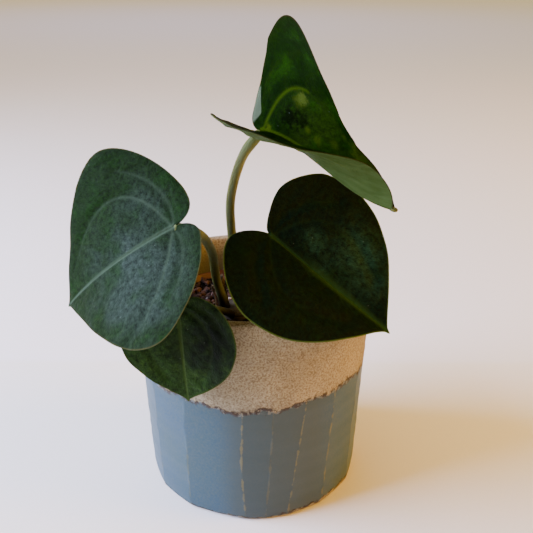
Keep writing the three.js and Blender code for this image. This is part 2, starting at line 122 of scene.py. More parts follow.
# Loose bits on the mix: piece, then material, dark and light colour and roughness, then number,
# least and greatest size, least and greatest thickness for that size, seed, detail, and the
# places and sizes of the bits that are plain to see. The others are strewn at random.
LOOSE_BITS = [
    (
        "bark_chips", ("pine_bark", "#080504", "#58423a", 0.85),
        1150, (1.1, 3.6), (0.35, 0.7), 11, 1, [],
    ),
    (
        "peat_crumbs", ("peat_crumb", "#050302", "#2a1e18", 0.95),
        1500, (0.6, 1.3), (0.6, 0.9), 23, 1, [],
    ),
    (
        "perlite_grains", ("perlite", "#7c7870", "#b4b0a8", 0.9),
        46, (0.9, 2.2), (0.6, 0.9), 37, 2,
        [(-21.2, 9.3, 1.8), (-11.2, 10.1, 1.5), (-15.6, 25.7, 1.4), (-10.3, -2.8, 1.3)],
    ),
]

# Leaves: joint, heading, pitch and roll place a blade, and in each pair the left half comes first.
# outline is half, widest, lobe, spread, taper, flare and shoulder of the heart, and right_outline
# the same where the right half differs. The next are in degrees: droop and sag bend the midrib,
# twist turns the blade along it, lobe_droop bends each lobe, fold is how steeply each half rises
# from the midrib and curl how far it bends on to the margin, each with its gain towards the tip.
# flat_lobe takes curl off the right half: how much, in full up to where along, and gone where.
# steepest is the lean past which the left half runs on straight, and turned_over gives the upper
# face at the back of the left lobe the underside's colour. left_vein is the left half's first main
# vein where that differs, veins_show how plainly each main vein shows, and seed draws the puckers.
LEAVES = [
    dict(
        name="left", joint=(-29.7, -41.9, 132), heading=176.5, pitch=-29.5, roll=-48, length=64.3,
        outline=(0.66, 0.26, 0.16, 0.12, 0.13, 0.155, 0.26), droop=32, sag=0, twist=0,
        lobe_droop=(0, 24), fold=(5, 5), fold_gain=(0, 0), curl=(7.5, 14.5), curl_gain=(0, 0),
        left_vein=((0, 0), (0.06, 0.16), (0.2, 0.42), (0.43, 0.55)),
        veins_show=(1, 1, 0.5, 0.5, 0.3), seed=3,
        stalk_radius=1.85, stalk=[
            (-11.5, -5, STALK_FOOT), (-12, -6, 80.5), (-13.7, -11, 90.5), (-15.2, -16, 99),
            (-15.8, -21.5, 108), (-16.2, -27.5, 117), (-18.9, -34.4, 125.6), (-22.7, -38.6, 129.6),
        ],
    ),
    dict(
        name="front", joint=(-27.4, -52.8, 104.4), heading=-60, pitch=-83.5, roll=31, length=42,
        outline=(0.57, 0.275, 0.11, 0.2, 0.15, 0.165, 0.4), droop=14, sag=0, twist=0,
        lobe_droop=(7, 8), fold=(23, -2), fold_gain=(0, 0), curl=(5.5, 0.5), curl_gain=(0, 0),
        veins_show=(1, 0.6, 0.4, 0.2, 0.2), seed=5,
        stalk_radius=1.5, stalk=[
            (-8.3, -9.3, STALK_FOOT), (-9, -10.4, 80.5), (-13, -17, 85.8), (-18, -28, 92.2),
            (-22.7, -39.5, 98.4), (-25.7, -46.5, 102.5),
        ],
    ),
    dict(
        name="right", joint=(7.7, -25.7, 123), heading=-15, pitch=-37.5, roll=14.5, length=61.4,
        outline=(0.66, 0.21, 0.2, 0.29, 0.145, 0.16, 0.45), droop=-2, sag=0, twist=0,
        lobe_droop=(-66, 6), fold=(39, 11.5), fold_gain=(0, 0), curl=(-21, -37), curl_gain=(0, 0),
        veins_show=(0.8, 0.3, 0.3, 0.1, 0.1), seed=8,
        stalk_radius=1.8, stalk=[
            (-2.4, -6, STALK_FOOT), (-2.2, -6.4, 80.5), (-1.4, -8.5, 92), (0.7, -13.6, 104.4),
            (3.5, -19.8, 114.6),
        ],
    ),
    dict(
        name="top", joint=(3.4, -2.8, 160.7), heading=-48.3, pitch=4.7, roll=12.3, length=71.1,
        outline=(0.668, 0.193, 0.1, 0.1, 0.016, 0.133, 0.154),
        right_outline=(0.62, 0.306, 0.074, 0.091, -0.1, 0.289, 0.21),
        droop=2.8, sag=30.7, twist=-5.1, lobe_droop=(-80, 5.3), fold=(70.6, 43.2),
        fold_gain=(13.9, 52), curl=(-2.8, -33.7), curl_gain=(153.5, -63.5),
        left_vein=((0, 0), (0.07, 0.15), (0.13, 0.3), (0.27, 0.31)),
        flat_lobe=(1.8, -0.03, 0.77), steepest=124, veins_show=(1, 0.15, 0.2, 0.05, 0.05),
        turned_over=True, seed=13,
        stalk_radius=1.95, stalk=[
            (-6, 0.3, STALK_FOOT), (-6.2, 0, 81), (-7.6, -0.8, 99), (-9.4, -2, 116),
            (-9.6, -3, 131), (-6.3, -4, 145), (-3.2, -3.7, 152), (0.3, -3.5, 156.6),
        ],
    ),
]
SINUS = 0.03
TIP_POINT = 0.018
LEAST_OPENING = 20
BLADE_THICKNESS = 0.5
FOLD_RADIUS = 1.2
BLADE_COLUMNS = 280
BLADE_RINGS = 96
SMALL_BLADE = 50
SMALL_BLADE_COLUMNS = 200
SMALL_BLADE_RINGS = 70
KNOB_HALF_SIZES = (1.8, 1.15, 0.95)

# Main veins of one half, in lengths from joint to tip: corners of a curve, half width in
# millimetres, and how plainly the vein shows. The first two also lie in a dip of the blade. All
# are drawn on a half that is VEINED_HALF wide, and fitted to wider and narrower ones.
VEINED_HALF = 0.66
DIPPED_VEINS = 2
MAIN_VEINS = [
    (((0, 0), (0.08, 0.25), (0.25, 0.55), (0.72, 0.2)), 0.75, 1.0),
    (((0, 0), (-0.07, 0.12), (-0.02, 0.34), (0.2, 0.5)), 0.8, 0.6),
    (((0.72, 0.2), (0.82, 0.12), (0.92, 0.05), (0.985, 0.004)), 0.6, 0.5),
    (((0.2, 0.5), (0.34, 0.585), (0.56, 0.47), (0.78, 0.22)), 0.6, 0.25),
    (((0, 0), (-0.05, 0.03), (-0.1, 0.12), (-0.06, 0.3)), 0.6, 0.3),
]
LATERAL_VEINS = [
    ((0.13, 0), (0.2, 0.1), (0.3, 0.24), (0.4, 0.355)),
    ((0.27, 0), (0.35, 0.09), (0.45, 0.2), (0.54, 0.31)),
    ((0.41, 0), (0.48, 0.07), (0.57, 0.16), (0.65, 0.245)),
    ((0.55, 0), (0.61, 0.05), (0.69, 0.12), (0.76, 0.17)),
    ((0.7, 0), (0.75, 0.03), (0.8, 0.07), (0.86, 0.09)),
    ((0.06, 0.15), (0.02, 0.22), (0.01, 0.3), (0.04, 0.38)),
    ((0.13, 0.26), (0.12, 0.34), (0.14, 0.42), (0.2, 0.5)),
    ((0.25, 0.345), (0.27, 0.4), (0.31, 0.47), (0.36, 0.54)),
    ((0.4, 0.355), (0.43, 0.39), (0.48, 0.44), (0.53, 0.47)),
    ((0.56, 0.3), (0.6, 0.32), (0.64, 0.35), (0.68, 0.345)),
    ((-0.02, 0.11), (-0.06, 0.16), (-0.08, 0.2), (-0.07, 0.27)),
]

# The look of each blade. deep is its green, painted_light_colour is the colour of its painted light
# and fresh that of fresher patches, vein and margin are for the pale lines, and under and
# under_light for the underside. painted_light gives places of painted light: along, aside, reach
# and strength; it is painted sheen of mirrored window light on most blades and painted shade over
# the front blade's right half. crinkle_shade is how dark the painted shade in the wrinkles is, and
# shows how plainly midrib, main veins, lateral veins and margin stand out. midrib_painted_sheen is
# painted sheen on the blade beside the midrib, and sheen is how much light the skin mirrors.
# marks_and_painted_light are along, aside, half width, colour and strength of scars and marks, and
# on the top blade also of painted shadow and painted light. Places are in millimetres on the flat
# leaf.
# Each blade's deep green is set blade by blade, so it is partly the leaf's own green and partly
# painted shade, darkest on the right and top blades.
LEAF_LOOKS = {
    "left": dict(
        deep="#182c10", painted_light_colour="#344238", fresh="#16340b", vein="#384836", margin="#484521",
        under="#26361a", under_light="#344424",
        painted_light=[(18, 12, 24, 1), (9, -15, 11, 0.55), (12, 25, 12, 1)],
        crinkle_shade=0.78, shows=(0.85, 0.5, 0.04, 0.5), midrib_painted_sheen=0.0, sheen=0.02,
    ),
    "front": dict(
        deep="#243d17", painted_light_colour="#0a110d", fresh="#2c4719", vein="#34481e", margin="#3c4a10",
        # On this blade the painted light is painted shade over its right half.
        under="#26361a", under_light="#344424", painted_light=[(15, 15, 19, 1)],
        crinkle_shade=0.85, shows=(0.6, 0.2, 0.06, 0.5), midrib_painted_sheen=0.15, sheen=0.03,
        marks_and_painted_light=[
            (10.7, 13.3, 0.55, "#010201", 0.9), (15.9, 17.5, 0.5, "#040201", 0.9),
            (15.0, 15.0, 0.35, "#010201", 0.8),
        ],
    ),
    "right": dict(
        deep="#0a1b0f", painted_light_colour="#21402a", fresh="#0c220a", vein="#2c4a1c", margin="#506a30",
        under="#26361a", under_light="#344424", painted_light=[(34, 16, 16, 0.9), (15, 10, 6, 0.9)],
        crinkle_shade=0.93, shows=(0.4, 0.08, 0.02, 0.6), midrib_painted_sheen=0.5, sheen=0.02,
    ),
    "top": dict(
        deep="#071c00", painted_light_colour="#1f3106", fresh="#153602", vein="#2d4006", margin="#2a2410",
        under="#31421c", under_light="#3e4e28", painted_light=[(28, 8, 17, 1)],
        crinkle_shade=0.62, shows=(0.75, 0.7, 0.05, 0.6), midrib_painted_sheen=0.1, sheen=0.005,
        marks_and_painted_light=[
            # The first two are painted shadow near the joint, and the last is painted light near
            # the tip, where the near half shades the far one; the others are paler blotches.
            (13.4, 8.8, 4.4, "#020400", 0.8), (19.0, 10.4, 4.0, "#030600", 0.75),
            (16.2, 17.4, 3.2, "#34400c", 0.45), (17.6, 18.2, 2.6, "#434f18", 0.45),
            (22.5, 8.2, 1.5, "#34430a", 0.6), (28.2, 7.3, 2.2, "#34430a", 0.5),
            (35.8, 11.1, 2.4, "#34430a", 0.4), (40.3, 19.0, 2.0, "#2c3a06", 0.4),
            (3.5, 1.6, 1.8, "#34430a", 0.7), (52.5, 17.0, 8.0, "#3e4e0e", 0.65),
        ],
    ),
}

# Each scale leaf: its side, its width and the middle line that it follows.
SCALE_LEAF_THICKNESS = 0.22
SCALE_LEAVES = [
    ("left", 4.2, [(-16.1, -5.2, 73), (-16.2, -5.9, 80), (-16.8, -8.5, 88), (-17.6, -12, 95.5)]),
    ("right", 3.6, [(-12.4, 2.8, 73), (-12.7, 2.5, 82), (-13.4, -0.8, 90), (-13.9, -3.8, 97)]),
]

# Floor and camera, in metres and degrees. The floor lies a hair below the pot's foot.
FLOOR_REACH = 6
FLOOR_DROP = 0.00005
CAMERA_PLACE = (0.0057, -0.3072, 0.2239)
CAMERA_PITCH = 22.05
CAMERA_ROLL = 0.25
CAMERA_LENS = 50.66
CAMERA_SENSOR = 36

# Small helpers.


def linear(colour):
    """A screen colour such as #a08060 as the linear numbers a shader works in."""
    shares = [int(colour[i:i + 2], 16) / 255 for i in (1, 3, 5)]
    return [s / 12.92 if s <= 0.04045 else ((s + 0.055) / 1.055) ** 2.4 for s in shares] + [1]


def smooth(value, start, end):
    """Eases from 0 at start to 1 at end. Start may be the greater of the two."""
    share = np.clip((value - start) / (end - start), 0, 1)
    return share * share * (3 - 2 * share)


def add(tree, kind, inputs=(), **settings):
    """A node of a material. An input is a number, a colour, another node or one of its outputs."""
    made = tree.nodes.new("ShaderNode" + kind)
    for setting, value in settings.items():
        setattr(made, setting, value)
    for key, value in dict(inputs).items():
        if isinstance(key, int):
            socket = made.inputs[key]
        else:
            socket = next(s for s in made.inputs if s.name == key and s.enabled)
        if isinstance(value, bpy.types.Node):
            value = next(s for s in value.outputs if s.enabled)
        if isinstance(value, bpy.types.NodeSocket):
            tree.links.new(value, socket)
        else:
            socket.default_value = value
    return made


def new_material(name):
    """A material with nothing in it yet, and its nodes."""
    material = bpy.data.materials.new(name)
    material.use_nodes = True
    material.node_tree.nodes.clear()
    return material, material.node_tree


def close_material(tree, shader):
    """Makes a shader the material's surface."""
    add(tree, "OutputMaterial", {"Surface": shader})


def sheet(columns, rows):
    """A flat grid that runs from 0 to 1 both ways, to be rolled or bent into shape."""
    bm = bmesh.new()
    bmesh.ops.create_grid(bm, x_segments=columns, y_segments=rows, size=0.5)
    bmesh.ops.translate(bm, vec=(0.5, 0.5, 0), verts=bm.verts)
    return bm


def close_up(bm, distance=1e-4):
    """Joins seams and poles and turns every face outwards."""
    bmesh.ops.remove_doubles(bm, verts=bm.verts, dist=distance)
    bmesh.ops.recalc_face_normals(bm, faces=bm.faces)


def turned(profile, columns):
    """A closed shape turned once round the Z axis from a profile of [radius, height] points."""
    bm = bmesh.new()
    corners = [bm.verts.new((0, -radius, height)) for radius, height in profile]
    edges = [bm.edges.new(pair) for pair in zip(corners, corners[1:])]
    bmesh.ops.spin(
        bm, geom=corners + edges, axis=(0, 0, 1), cent=(0, 0, 0), angle=math.tau, steps=columns,
        use_merge=True,
    )
    close_up(bm)
    return bm


def piece(name, bm, material, slot, *stands_for, sharp=50):
    """A finished piece of the plant or its pot, from a shape in millimetres."""
    bmesh.ops.scale(bm, vec=(MM, MM, MM), verts=bm.verts)
    mesh = bpy.data.meshes.new(name)
    bm.to_mesh(mesh)
    bm.free()
    mesh.shade_smooth()
    mesh.set_sharp_from_angle(angle=math.radians(sharp))
    mesh.materials.append(material)
    made = bpy.data.objects.new(name, mesh)
    bpy.context.scene.collection.objects.link(made)
    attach(made, "root")
    if stands_for:
        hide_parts(*stands_for)
    return made


def lay(bm, places):
    """Moves each point of a shape to its place."""
    for vert, place in zip(bm.verts, places):
        vert.co = place


def places_of(mesh):
    """Where each point of a mesh is."""
    places = np.empty(3 * len(mesh.vertices))
    mesh.vertices.foreach_get("co", places)
    return places.reshape(-1, 3)


def note(mesh, name, values):
    """A number for each point of a mesh, which its material reads by name."""
    attribute = mesh.attributes.new(name, "FLOAT", "POINT")
    attribute.data.foreach_set("value", np.asarray(values, dtype=np.float32))


def unit(vectors):
    """Each vector made 1 long."""
    return vectors / np.linalg.norm(vectors, axis=1)[:, None]


def ways_round(onward, way):
    """Two unit vectors square to each direction: one nearest to a given way, and one beside it."""
    facing = unit(way - onward * (onward @ way)[:, None])
    return facing, np.cross(onward, facing)


def bezier(corners, shares):
    """Points of a cubic curve with four corners."""
    a, b, c, d = np.array(corners, dtype=float)
    s = np.asarray(shares)[:, None]
    return (1 - s) ** 3 * a + 3 * (1 - s) ** 2 * s * b + 3 * (1 - s) * s ** 2 * c + s ** 3 * d


def evenly(line, shares):
    """Points of a line at shares of its length."""
    steps = np.linalg.norm(np.diff(line, axis=0), axis=1)
    length = np.concatenate([[0], np.cumsum(steps)])
    return np.stack([np.interp(shares * length[-1], length, column) for column in line.T], axis=1)


def smooth_curve(points, shares):
    """Places and directions along a smooth curve through the points, at shares of its length."""
    points = np.array(points, dtype=float)
    points = np.vstack([2 * points[0] - points[1], points, 2 * points[-1] - points[-2]])
    line = []
    for p0, p1, p2, p3 in zip(points, points[1:], points[2:], points[3:]):
        t1 = np.linalg.norm(p1 - p0) ** 0.5
        t2 = t1 + np.linalg.norm(p2 - p1) ** 0.5
        t3 = t2 + np.linalg.norm(p3 - p2) ** 0.5
        t = np.linspace(t1, t2, 25)[:-1, None]
        a1 = (t1 - t) / t1 * p0 + t / t1 * p1
        a2 = (t2 - t) / (t2 - t1) * p1 + (t - t1) / (t2 - t1) * p2
        a3 = (t3 - t) / (t3 - t2) * p2 + (t - t2) / (t3 - t2) * p3
        b1 = (t2 - t) / t2 * a1 + t / t2 * a2
        b2 = (t3 - t) / (t3 - t1) * a2 + (t - t1) / (t3 - t1) * a3
        line.append((t2 - t) / (t2 - t1) * b1 + (t - t1) / (t2 - t1) * b2)
    line = np.vstack(line + [points[-2:-1]])
    places = evenly(line, shares)
    before, after = np.clip(shares - 0.005, 0, 1), np.clip(shares + 0.005, 0, 1)
    return places, unit(evenly(line, after) - evenly(line, before))


# Materials.


def bare_clay(tree, place, height, grain, inside):
    """Buff clay whose tone drifts over 22 mm, with brown and pale speckles."""
    drift = add(tree, "TexNoise", {"Vector": place, "Scale": 45.0, "Detail": 3.0})
    clay = add(tree, "Mix", {
        "Factor": add(tree, "MapRange", {"Value": drift, "From Min": 0.35, "From Max": 0.65}),
        "A": linear("#827a62"), "B": linear("#948b70"),
    }, data_type="RGBA")
    for start, end, strength, colour in (
        (0.46, 0.62, 0.6, "#55402a"), (0.4, 0.28, 0.5, "#b6a98c"),
    ):
        speckle = add(tree, "MapRange", {
            "Value": grain, "From Min": start, "From Max": end, "To Max": strength,
        }, interpolation_type="SMOOTHSTEP")
        clay = add(tree, "Mix", {
            "Factor": speckle, "A": clay, "B": linear(colour),
        }, data_type="RGBA")
    # Painted shade: the inside wall is painted duller and darker than the outside, and a little
    # paler a centimetre below the rim.
    shaded_inner_wall = add(tree, "Mix", {
        "Factor": add(tree, "MapRange", {"Value": height, "From Min": 0.094, "From Max": 0.083}),
        "A": linear("#384232"), "B": linear("#4a5048"),
    }, data_type="RGBA")
    return add(tree, "Mix", {
        "Factor": add(tree, "Math", {0: inside, 1: 0.8}, operation="MULTIPLY"),
        "A": clay, "B": shaded_inner_wall,
    }, data_type="RGBA")


def blue_glaze(tree, place, thin):
    """Glaze that is cloudy blue-grey over 36 mm, with a faint grain of 1 mm."""
    cloud = add(tree, "TexNoise", {
        "Vector": place, "Scale": 28.0, "Detail": 4.0, "Roughness": 0.55,
    })
    fine = add(tree, "TexNoise", {
        "Vector": place, "Scale": 1000.0, "Detail": 4.0, "Roughness": 0.7,
    })
    clouds = add(tree, "MapRange", {"Value": cloud, "From Min": 0.38, "From Max": 0.62})
    grain = add(tree, "MapRange", {
        "Value": fine, "From Min": 0.4, "From Max": 0.7, "To Max": 0.75,
    })
    # Thinner glaze lets the clay grey it, most on the pot's front.
    greyer = add(tree, "Math", {0: thin, 1: 0.75}, operation="MULTIPLY")
    glaze = linear("#324b5a")
    for share, colour in ((clouds, "#364d53"), (grain, "#4a5656"), (greyer, "#3c4642")):
        glaze = add(tree, "Mix", {
            "Factor": share, "A": glaze, "B": linear(colour),
        }, data_type="RGBA")
    return glaze


def stoneware():
    """Bare buff clay with brown iron speckles, and below the border a satin blue-grey glaze that
    thins to the clay's tan on every crest: the eye reads a hand-dipped, hand-cut pot."""
    material, tree = new_material("dipped_stoneware")
    place = add(tree, "TexCoord").outputs["Object"]
    axes = add(tree, "SeparateXYZ", {"Vector": place})
    above, crest, shown, inside, foot, thin = (
        add(tree, "Attribute", attribute_name=name).outputs["Fac"] for name in (
            "above_border", "from_crest", "crest_shown", "inside", "above_foot", "thin_glaze",
        )
    )
    # Speckles of 0.7 mm, and waves of 3 mm that make lines ragged.
    grain = add(tree, "TexNoise", {
        "Vector": place, "Scale": 1350.0, "Detail": 3.0, "Roughness": 0.6,
    })
    wide = add(tree, "TexNoise", {"Vector": place, "Scale": 330.0, "Detail": 3.0})

    # Crest lines about half a millimetre wide each side, ragged and broken.
    ragged = add(tree, "Math", {0: wide, 1: 2.8, 2: -1.25}, operation="MULTIPLY_ADD")
    line = add(tree, "MapRange", {
        "Value": add(tree, "Math", {0: crest, 1: ragged}, operation="ADD"),
        "From Min": 0.62, "From Max": 0.05, "To Max": 0.75,
    }, interpolation_type="SMOOTHSTEP")
    crest_line = add(tree, "Math", {0: line, 1: shown}, operation="MULTIPLY")

    # The border and the foot: clay above the border and on the foot, which was wiped clean of
    # glaze, further up on the right.
    shift = add(tree, "Math", {0: wide, 1: 5.0, 2: -2.5}, operation="MULTIPLY_ADD")
    fray = add(tree, "Math", {0: grain, 1: 2.6, 2: -1.3}, operation="MULTIPLY_ADD")
    edge = add(tree, "Math", {
        0: above, 1: add(tree, "Math", {0: shift, 1: fray}, operation="ADD"),
    }, operation="ADD")
    is_clay = add(tree, "MapRange", {
        "Value": edge, "From Min": -0.35, "From Max": 0.25,
    }, interpolation_type="SMOOTHSTEP")
    wiped = add(tree, "MapRange", {
        "Value": axes.outputs["X"], "From Min": 0.005, "From Max": 0.05, "To Max": 3.2,
    })
    foot_edge = add(tree, "Math", {
        0: add(tree, "Math", {0: foot, 1: shift}, operation="ADD"), 1: wiped,
    }, operation="SUBTRACT")
    is_foot = add(tree, "MapRange", {
        "Value": foot_edge, "From Min": 1.9, "From Max": 1.1,
    }, interpolation_type="SMOOTHSTEP")
    bare = add(tree, "Math", {0: is_clay, 1: is_foot}, operation="MAXIMUM")

    # A cream thread just below the border, brown dots of 2 mm along it, where the glaze gathered,
    # and the burnt edge of the wiped foot: each is a place, the way out and in, and a strength.
    thread, gathered, burnt = (
        add(tree, "MapRange", {
            "Value": add(tree, "Math", {
                0: add(tree, "Math", {0: height, 1: middle}, operation="SUBTRACT"),
            }, operation="ABSOLUTE"),
            "From Min": start, "From Max": end, "To Max": strength,
        }, interpolation_type="SMOOTHSTEP")
        for height, middle, start, end, strength in (
            (edge, -0.55, 0.6, 0.1, 0.25), (edge, 0.0, 1.7, 0.5, 0.85),
            (foot_edge, 1.3, 1.1, 0.4, 0.9),
        )
    )
    dots = add(tree, "MapRange", {
        "Value": add(tree, "TexNoise", {"Vector": place, "Scale": 420.0, "Detail": 4.0}),
        "From Min": 0.43, "From Max": 0.53,
    }, interpolation_type="SMOOTHSTEP")
    brown = add(tree, "Math", {
        0: add(tree, "Math", {0: gathered, 1: burnt}, operation="MAXIMUM"), 1: dots,
    }, operation="MULTIPLY")

    clay = bare_clay(tree, place, axes.outputs["Z"], grain, inside)
    colour = blue_glaze(tree, place, thin)
    for share, over in (
        (crest_line, linear("#686446")), (bare, clay), (thread, linear("#a09680")),
        (brown, linear("#2a1c16")),
    ):
        colour = add(tree, "Mix", {"Factor": share, "A": colour, "B": over}, data_type="RGBA")

    rough = add(tree, "MapRange", {"Value": bare, "To Min": 0.46, "To Max": 0.88})
    grain_height = add(tree, "Math", {
        0: grain, 1: add(tree, "MapRange", {"Value": bare, "To Min": 0.12, "To Max": 0.8}),
    }, operation="MULTIPLY")
    relief = add(tree, "Math", {
        0: add(tree, "Math", {0: bare}, operation="SUBTRACT"), 1: grain_height,
    }, operation="ADD")
    bump = add(tree, "Bump", {"Height": relief, "Distance": 0.00018, "Strength": 0.8})
    close_material(tree, add(tree, "BsdfPrincipled", {
        "Base Color": colour, "Roughness": rough, "Normal": bump,
        "Specular IOR Level": 0.2, "IOR": 1.5,
    }))
    return material


def terracotta_plastic():
    """Moulded nursery-pot plastic: terracotta red and satin, with faint clouds of 5 mm and a mould
    grain of 0.4 mm, so that the eye reads a thin, cheap pot."""
    material, tree = new_material("moulded_terracotta_plastic")
    place = add(tree, "TexCoord").outputs["Object"]
    cloud = add(tree, "TexNoise", {"Vector": place, "Scale": 220.0, "Detail": 3.0})
    colour = add(tree, "Mix", {
        "Factor": cloud, "A": linear("#3e1a19"), "B": linear("#4e2421"),
    }, data_type="RGBA")
    grain = add(tree, "TexNoise", {"Vector": place, "Scale": 2400.0, "Detail": 1.0})
    bump = add(tree, "Bump", {"Height": grain, "Distance": 0.00004, "Strength": 0.6})
    rough = add(tree, "MapRange", {"Value": cloud, "To Min": 0.42, "To Max": 0.58})
    close_material(tree, add(tree, "BsdfPrincipled", {
        "Base Color": colour, "Roughness": rough, "Normal": bump,
    }))
    return material


def damp_and_shaded_mix():
    """Damp peaty mix between the chips, dark of itself and painted nearly black as painted shade:
    matt, with rusty crumbs of 1.4 mm.
    """
    material, tree = new_material("damp_and_shaded_potting_mix")
    place = add(tree, "TexCoord").outputs["Object"]
    crumb = add(tree, "TexNoise", {
        "Vector": place, "Scale": 700.0, "Detail": 5.0, "Roughness": 0.7,
    })
    # Painted shade: the mix is painted nearly black, darker than damp peat alone.
    colour = add(tree, "Mix", {
        "Factor": add(tree, "MapRange", {"Value": crumb, "From Min": 0.42, "From Max": 0.72}),
        "A": linear("#040302"), "B": linear("#1c130e"),
    }, data_type="RGBA")
    bump = add(tree, "Bump", {"Height": crumb, "Distance": 0.0008})
    close_material(tree, add(tree, "BsdfPrincipled", {
        "Base Color": colour, "Roughness": 0.92, "Normal": bump, "Specular IOR Level": 0.08,
    }))
    return material


def loose_bits(name, dark, light, rough):
    """Broken bits whose tone differs from one to the next, each streaked every 0.7 mm, so that the
    eye tells one from another."""
    material, tree = new_material(name)
    place = add(tree, "TexCoord").outputs["Object"]
    tone = add(tree, "Attribute", attribute_name="tone").outputs["Fac"]
    streak = add(tree, "TexNoise", {"Vector": place, "Scale": 1400.0, "Detail": 4.0})
    mixed = add(tree, "Math", {0: streak, 1: 0.6, 2: -0.3}, operation="MULTIPLY_ADD")
    colour = add(tree, "Mix", {
        "Factor": add(tree, "Math", {0: tone, 1: mixed}, operation="ADD", use_clamp=True),
        "A": linear(dark), "B": linear(light),
    }, data_type="RGBA")
    bump = add(tree, "Bump", {"Height": streak, "Distance": 0.0004})
    close_material(tree, add(tree, "BsdfPrincipled", {
        "Base Color": colour, "Roughness": rough, "Normal": bump, "Specular IOR Level": 0.12,
    }))
    return material


def stalk_skin():
    """Smooth olive stalk skin: painted darker on its left side and paler on its right as painted
    light, painted nearly black at the foot as painted shade, green at the knee, with streaks of 0.7
    by 8 mm. Light spreads inside it, as in a fleshy stalk."""
    material, tree = new_material("olive_stalk_skin")
    place = add(tree, "TexCoord").outputs["Object"]
    along = add(tree, "Attribute", attribute_name="along").outputs["Fac"]
    height = add(tree, "SeparateXYZ", {"Vector": place}).outputs["Z"]
    above_mix = add(tree, "Math", {0: height, 1: MIX_LEVEL * MM}, operation="SUBTRACT")
    stretched = add(tree, "Mapping", {"Vector": place, "Scale": (1.0, 1.0, 0.08)})
    streak = add(tree, "TexNoise", {"Vector": stretched, "Scale": 1500.0, "Detail": 3.0})
    patch = add(tree, "TexNoise", {"Vector": place, "Scale": 90.0, "Detail": 2.0})
    # Painted light: the left side is painted darker, where the window light falls, and the right
    # side paler and greener, where the warm light falls, so that both sides come out even.
    side = add(tree, "Attribute", attribute_name="right_side").outputs["Fac"]
    side_painted_light = add(tree, "Math", {
        0: add(tree, "Math", {0: patch, 1: 0.5, 2: -0.25}, operation="MULTIPLY_ADD"), 1: side,
    }, operation="ADD")
    green = add(tree, "Mix", {
        "Factor": side_painted_light, "A": linear("#4b4d1e"), "B": linear("#6a7558"),
    }, data_type="RGBA")
    streaked = add(tree, "Mix", {
        "Factor": add(tree, "MapRange", {
            "Value": streak, "From Min": 0.45, "From Max": 0.75, "To Max": 0.35,
        }),
        "A": green, "B": linear("#7a7a44"),
    }, data_type="RGBA")
    # Painted shade: the last 2 cm above the mix are painted nearly black, where leaves and rim
    # shade the stalks.
    foot_painted_shade = add(tree, "Mix", {
        "Factor": add(tree, "MapRange", {
            "Value": above_mix, "From Min": 0.02, "From Max": 0.004,
        }, interpolation_type="SMOOTHSTEP"),
        "A": streaked, "B": linear("#0c0a04"),
    }, data_type="RGBA")
    kneed = add(tree, "Mix", {
        "Factor": add(tree, "MapRange", {
            "Value": along, "From Min": 0.84, "From Max": 0.96, "To Max": 0.8,
        }),
        "A": foot_painted_shade, "B": linear("#4e5a2c"),
    }, data_type="RGBA")
    bump = add(tree, "Bump", {"Height": streak, "Distance": 0.00012, "Strength": 0.7})
    close_material(tree, add(tree, "BsdfPrincipled", {
        "Base Color": kneed, "Roughness": 0.5, "Normal": bump, "Specular IOR Level": 0.08,
        "Subsurface Weight": 0.8, "Subsurface Radius": (1.0, 0.95, 0.6), "Subsurface Scale": 0.0022,
    }))
    return material


def crown_skin():
    """Corky crown: brown-green rings of 0.8 mm, matt and broken like dry bark."""
    material, tree = new_material("corky_crown")
    place = add(tree, "TexCoord").outputs["Object"]
    flat_rings = add(tree, "Mapping", {"Vector": place, "Scale": (0.5, 0.5, 3.0)})
    ring = add(tree, "TexNoise", {"Vector": flat_rings, "Scale": 420.0, "Detail": 5.0})
    colour = add(tree, "Mix", {
        "Factor": add(tree, "MapRange", {"Value": ring, "From Min": 0.35, "From Max": 0.7}),
        "A": linear("#191309"), "B": linear("#443c20"),
    }, data_type="RGBA")
    bump = add(tree, "Bump", {"Height": ring, "Distance": 0.0007})
    close_material(tree, add(tree, "BsdfPrincipled", {
        "Base Color": colour, "Roughness": 0.75, "Normal": bump,
    }))
    return material


def papery_skin():
    """Dry scale leaf: matt tan paper with darker fibres of 0.5 by 4 mm along it."""
    material, tree = new_material("papery_scale_leaf")
    place = add(tree, "TexCoord").outputs["Object"]
    stretched = add(tree, "Mapping", {"Vector": place, "Scale": (1.0, 1.0, 0.12)})
    fibre = add(tree, "TexNoise", {"Vector": stretched, "Scale": 2200.0, "Detail": 3.0})
    colour = add(tree, "Mix", {
        "Factor": add(tree, "MapRange", {"Value": fibre, "From Min": 0.35, "From Max": 0.7}),
        "A": linear("#54402a"), "B": linear("#94835f"),
    }, data_type="RGBA")
    bump = add(tree, "Bump", {"Height": fibre, "Distance": 0.0003})
    close_material(tree, add(tree, "BsdfPrincipled", {
        "Base Color": colour, "Roughness": 0.8, "Normal": bump,
    }))
    return material


def painted_light_share(tree, flat, cloud, painted_light):
    """How strong the painted light is: strongest round a few places, and thinning out in clouds."""
    thickest = 0.0
    for x, y, reach, strength in painted_light:
        away = add(tree, "VectorMath", {
            0: flat, 1: (x * MM, y * MM, 0),
        }, operation="DISTANCE").outputs["Value"]
        clouded = add(tree, "Math", {
            0: add(tree, "Math", {0: cloud, 1: 0.5}, operation="SUBTRACT"),
            1: -1.8 * reach * MM, 2: away,
        }, operation="MULTIPLY_ADD")
        share = add(tree, "MapRange", {
            "Value": clouded, "From Min": 1.45 * reach * MM, "From Max": 0.1 * reach * MM,
            "To Max": strength,
        }, interpolation_type="SMOOTHSTEP")
        thickest = add(tree, "Math", {0: thickest, 1: share}, operation="MAXIMUM")
    return thickest


